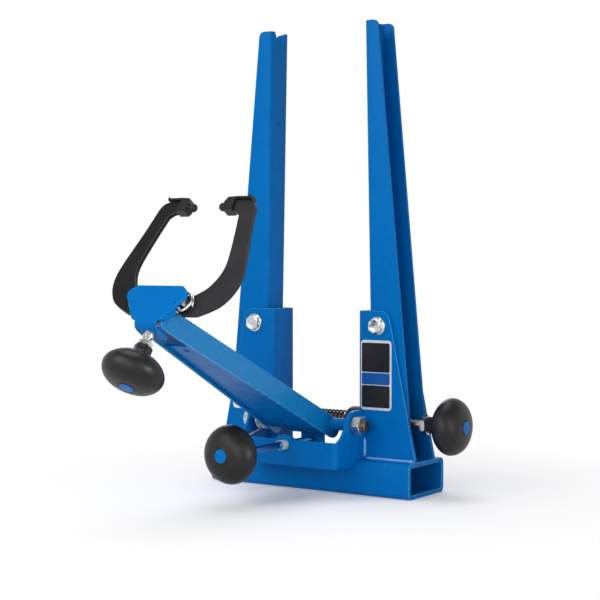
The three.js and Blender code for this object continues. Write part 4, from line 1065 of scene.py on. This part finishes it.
# Springs, each between what its two ends sit on
def spread_spring():
    """The spread spring in two halves, each between the frame's middle and one carrier."""
    path = smooth_path(seated(SPREAD_SPRING, -CAP_INNER_X, CAP_INNER_X))
    middle = min(range(len(path)), key=lambda i: abs(path[i].z))
    for side, word, half, ends, replaced in (
        (-1, "left", path[:middle + 1], (True, False), []),
        (1, "right", path[middle:], (False, True), ["spread_spring"]),
    ):
        work = swept(bmesh.new(), half, SPREAD_SPRING[0] / 2, SPREAD_AXIS, capped=ends)
        piece = finished(
            f"spread_spring_{word}_half", outward(work), [spring_black], None, replaced,
        )
        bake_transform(piece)


def arm_spring():
    """The arm's return spring, from a leg on the front plate to a turned-in end at the arm's side."""
    wire, radius, turns = ARM_SPRING
    leg = math.radians(ARM_SPRING_LEG)
    departure = -math.pi / 2 + leg
    direction = Vector((-math.cos(leg), -math.sin(leg), 0))
    start = around(radius, departure, -ARM_SPRING_FROM)
    plate = FRONT_PLATE_Y + FRONT_WALL + FIT_GAP + wire / 2 - ARM_PIVOT[1]
    length = (plate - start.x) / direction.x
    last = departure + 2 * math.pi * turns
    end = around(radius, last, -ARM_SPRING_TO)
    turned_in = end + Vector((-math.sin(last), math.cos(last), 0)) * wire
    seat = -(ARM_HALF_WIDTH + ARM_TAPER * radius + FIT_GAP)
    path = [
        start + direction * length, start + direction * length / 2, start + direction * wire,
        *helix(radius, turns, -ARM_SPRING_FROM, -ARM_SPRING_TO, departure),
        Vector((turned_in.x, turned_in.y, seat - wire)), Vector((turned_in.x, turned_in.y, seat)),
    ]
    # The spring's own x, y and z lie along the stand's Y, Z and X
    turn = Matrix(((0, 0, 1, 0), (1, 0, 0, 0), (0, 1, 0, 0), (0, 0, 0, 1)))
    place = Matrix.Translation(Vector(ARM_PIVOT)) @ turn
    work = swept(bmesh.new(), smooth_path(path), wire / 2, place)
    piece = finished("arm_spring_wound", outward(work), [wire_steel], None, ["arm_spring"])
    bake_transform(piece)


def leg_springs():
    """The legs' return springs, each round its pin."""
    for side, word in SIDES:
        path = smooth_path(seated(LEG_SPRING, 0, PLATE_REAR_Z, 0 if side > 0 else math.pi))
        place = CALLIPER @ Matrix.Translation(Vector((side * LEG_PIVOT_X, LEG_PIVOT_Y, 0)))
        work = swept(bmesh.new(), path, LEG_SPRING[0] / 2, place)
        piece = finished(
            f"leg_spring_{word}_wound", outward(work), [wire_steel], None,
            [f"leg_spring_{word}"],
        )
        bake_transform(piece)


# Labels
def rounded_plate(work, low, high, corner, near, far, index):
    """Adds a plate in the XZ plane with round corners, between two levels of y."""
    outline = []
    for cx, cz, quarter in (
        (high[0] - corner, low[1] + corner, 3), (high[0] - corner, high[1] - corner, 0),
        (low[0] + corner, high[1] - corner, 1), (low[0] + corner, low[1] + corner, 2),
    ):
        for step in range(LABEL_CORNER_STEPS + 1):
            angle = math.pi / 2 * (quarter + step / LABEL_CORNER_STEPS)
            outline.append((cx + corner * math.cos(angle), cz + corner * math.sin(angle)))
    front = [work.verts.new(millimetres(x, near, z)) for x, z in outline]
    back = [work.verts.new(millimetres(x, far, z)) for x, z in outline]
    faces = [work.faces.new(front), work.faces.new(back[::-1])]
    for i in range(len(outline)):
        j = (i + 1) % len(outline)
        faces.append(work.faces.new((front[i], back[i], back[j], front[j])))
    for face in faces:
        face.material_index = index


def label(word, centre, half, borders, panels):
    """A bare label: its border and its panels, which stand a little proud."""
    work = bmesh.new()
    x, z = centre
    face = BRACKET_FRONT_Y - LABEL_THICKNESS
    rounded_plate(
        work, (x - half[0], z - half[1]), (x + half[0], z + half[1]), LABEL_CORNER, face, BRACKET_FRONT_Y, 0,
    )
    left = x - half[0] + borders[0]
    right = x + half[0] - borders[1]
    for low, high, index in panels:
        rounded_plate(
            work, (left, z + low), (right, z + high), LABEL_PANEL_CORNER, face - LABEL_PROUD, face, index,
        )
    finished(f"label_{word}_bare", outward(work), LABEL_INKS, "frame", [f"label_{word}"])


def labels():
    for word, sizes in LABELS.items():
        label(word, *sizes)


# Weld beads
def bead(name, start, end, radius):
    """A rippled weld bead along a straight line on the frame."""
    along = Vector(end) - Vector(start)
    ripples = round(along.length / (radius * WELD_RIPPLE_SHARE))
    count = ripples * WELD_ROWS
    path = [Vector(start) + along * i / count for i in range(count + 1)]

    def size(share):
        ripple = abs(math.sin(math.pi * ripples * share))
        near_end = min(1, share * ripples, (1 - share) * ripples)
        waves = sum(height * math.sin(rate * share * ripples) for height, rate in WELD_WAVES)
        height = 1 - WELD_HEIGHT_SHARE + WELD_HEIGHT_SHARE * ripple + waves
        return radius * height * max(WELD_END_SHARE, near_end)

    work = swept(bmesh.new(), path, size, sides=WELD_SIDES, flat=WELD_FLAT_SHARE)
    return finished(name, outward(work), [weld_paint_highlight], "frame")


def front_welds(side, word):
    """Two upright beads between the front bracket and a bracket."""
    x = side * (FRONT_HALF_WIDTH + WELD_OFFSET)
    y = BRACKET_FRONT_Y - WELD_FRONT_OFFSET
    for low, high, place in (
        (BASE_TOP_Z + WELD_LOW_FROM, BASE_TOP_Z + WELD_LOW_TO, "low"),
        (FRONT_EAR_Z - WELD_HIGH_LENGTH, FRONT_EAR_Z, "high"),
    ):
        bead(f"weld_front_{place}_{word}", (x, y, low), (x, y, high), WELD_FRONT_RADIUS)


def foot_welds(side, word):
    """A bead before and behind a bracket's foot, each with a thicker end."""
    for face, y, inner in (
        ("front", BRACKET_FRONT_Y - WELD_OFFSET, FRONT_HALF_WIDTH + WELD_FRONT_START),
        ("rear", BRACKET_REAR_Y + WELD_OFFSET, BRACKET_WEB_X + WELD_REAR_START),
    ):
        name = f"weld_foot_{face}_{word}"
        low = BASE_TOP_Z + WELD_OFFSET
        high = BASE_TOP_Z + WELD_END_OFFSET
        outer = side * BRACKET_FOOT_X
        bead(name, (side * inner, y, low), (outer, y, low), WELD_FOOT_RADIUS)
        end_from = side * (BRACKET_FOOT_X - WELD_END_LENGTH)
        bead(f"{name}_end", (end_from, y, high), (outer, y, high), WELD_END_RADIUS)


def welds():
    for side, word in SIDES:
        front_welds(side, word)
        foot_welds(side, word)


# Floor, world, lamps and camera
def seen_rays(tree):
    """One where a ray is seen by the camera, directly, in a reflection or through glass."""
    path = tree.nodes.new("ShaderNodeLightPath")
    total = path.outputs["Is Camera Ray"]
    for ray in ("Is Glossy Ray", "Is Transmission Ray"):
        either = tree.nodes.new("ShaderNodeMath")
        either.operation = "MAXIMUM"
        tree.links.new(total, either.inputs[0])
        tree.links.new(path.outputs[ray], either.inputs[1])
        total = either.outputs[0]
    return total


def mixed(tree, share, first, second):
    """The output of a mix of two shaders."""
    mix = tree.nodes.new("ShaderNodeMixShader")
    tree.links.new(share, mix.inputs[0])
    tree.links.new(first, mix.inputs[1])
    tree.links.new(second, mix.inputs[2])
    return mix.outputs[0]


def coloured(tree, kind, colour=None):
    """The output of a new shader of one kind, in one colour."""
    shader = tree.nodes.new(kind)
    if colour:
        shader.inputs["Color"].default_value = (*colour, 1)
    return shader.outputs[0]


def floor_material():
    """Takes the object's shadow near it and is plain white further out, where it is seen."""
    material = bpy.data.materials.new("studio floor")
    material.use_nodes = True
    tree = material.node_tree
    tree.nodes.remove(tree.nodes["Principled BSDF"])
    near = tree.nodes.new("ShaderNodeAddShader")
    tree.links.new(coloured(tree, "ShaderNodeEmission", FLOOR_GLOW), near.inputs[0])
    tree.links.new(coloured(tree, "ShaderNodeBsdfDiffuse", FLOOR_SHADE), near.inputs[1])
    where = tree.nodes.new("ShaderNodeTexCoord")
    reach = tree.nodes.new("ShaderNodeVectorMath")
    reach.operation = "LENGTH"
    tree.links.new(where.outputs["Object"], reach.inputs[0])
    fade = carried(tree, reach.outputs["Value"], [distance * MM for distance in FLOOR_FADE])
    seen = mixed(tree, fade, near.outputs[0], coloured(tree, "ShaderNodeEmission"))
    plain = coloured(tree, "ShaderNodeBsdfDiffuse", FLOOR_COLOUR)
    surface = mixed(tree, seen_rays(tree), plain, seen)
    tree.links.new(surface, tree.nodes["Material Output"].inputs["Surface"])
    return material


def floor():
    work = bmesh.new()
    corners = [(-1, -1), (1, -1), (1, 1), (-1, 1)]
    work.faces.new([work.verts.new(millimetres(x * FLOOR_HALF, y * FLOOR_HALF, 0)) for x, y in corners])
    mesh = bpy.data.meshes.new("floor")
    work.to_mesh(mesh)
    work.free()
    mesh.materials.append(floor_material())
    made = bpy.data.objects.new("floor", mesh)
    bpy.context.scene.collection.objects.link(made)


def surroundings():
    """A soft light from all round, and a white backdrop that darkens upwards in reflections."""
    world = bpy.data.worlds.new("studio")
    bpy.context.scene.world = world
    world.use_nodes = True
    tree = world.node_tree
    lit = tree.nodes["Background"]
    lit.inputs["Strength"].default_value = WORLD_LIGHT
    lit.inputs["Color"].default_value = WHITE
    white = tree.nodes.new("ShaderNodeBackground")
    white.inputs["Color"].default_value = WHITE
    where = tree.nodes.new("ShaderNodeTexCoord")
    parts = tree.nodes.new("ShaderNodeSeparateXYZ")
    tree.links.new(where.outputs["Generated"], parts.inputs[0])
    light = carried(tree, parts.outputs["Z"], BACKDROP_HEIGHTS, BACKDROP_LIGHT)
    tree.links.new(light, white.inputs["Strength"])
    surface = mixed(tree, seen_rays(tree), lit.outputs[0], white.outputs[0])
    tree.links.new(surface, tree.nodes["World Output"].inputs["Surface"])


def lamps():
    for name, at, aim, size, watts, spread in LAMPS:
        data = bpy.data.lights.new(name, "AREA")
        data.shape = "DISK"
        data.size = size
        data.energy = watts
        data.spread = math.radians(spread)
        lamp = bpy.data.objects.new(name, data)
        lamp.location = at
        lamp.rotation_mode = "QUATERNION"
        lamp.rotation_quaternion = (Vector(aim) - Vector(at)).to_track_quat("-Z", "Y")
        bpy.context.scene.collection.objects.link(lamp)


def camera():
    data = bpy.data.cameras.new("camera")
    data.sensor_width = SENSOR
    data.lens = CAMERA_LENS
    data.clip_end = CAMERA_REACH
    made = bpy.data.objects.new("camera", data)
    yaw = math.radians(CAMERA_YAW)
    pitch = math.radians(CAMERA_PITCH)
    right = Vector((math.cos(yaw), math.sin(yaw), 0))
    back = Vector((math.sin(yaw) * math.cos(pitch), -math.cos(yaw) * math.cos(pitch), math.sin(pitch)))
    turn = Matrix((right, back.cross(right), back)).transposed().to_4x4()
    made.matrix_world = Matrix.Translation(millimetres(*CAMERA_AT)) @ turn
    bpy.context.scene.collection.objects.link(made)
    bpy.context.scene.camera = made


sheet_metal()
arm_and_legs()
knobs()
upright_fasteners()
arm_pivot()
spread_screw()
arm_screw()
calliper_screw()
spread_spring()
arm_spring()
leg_springs()
labels()
welds()
floor()
surroundings()
lamps()
camera()
bpy.context.scene.view_settings.view_transform = "Standard"
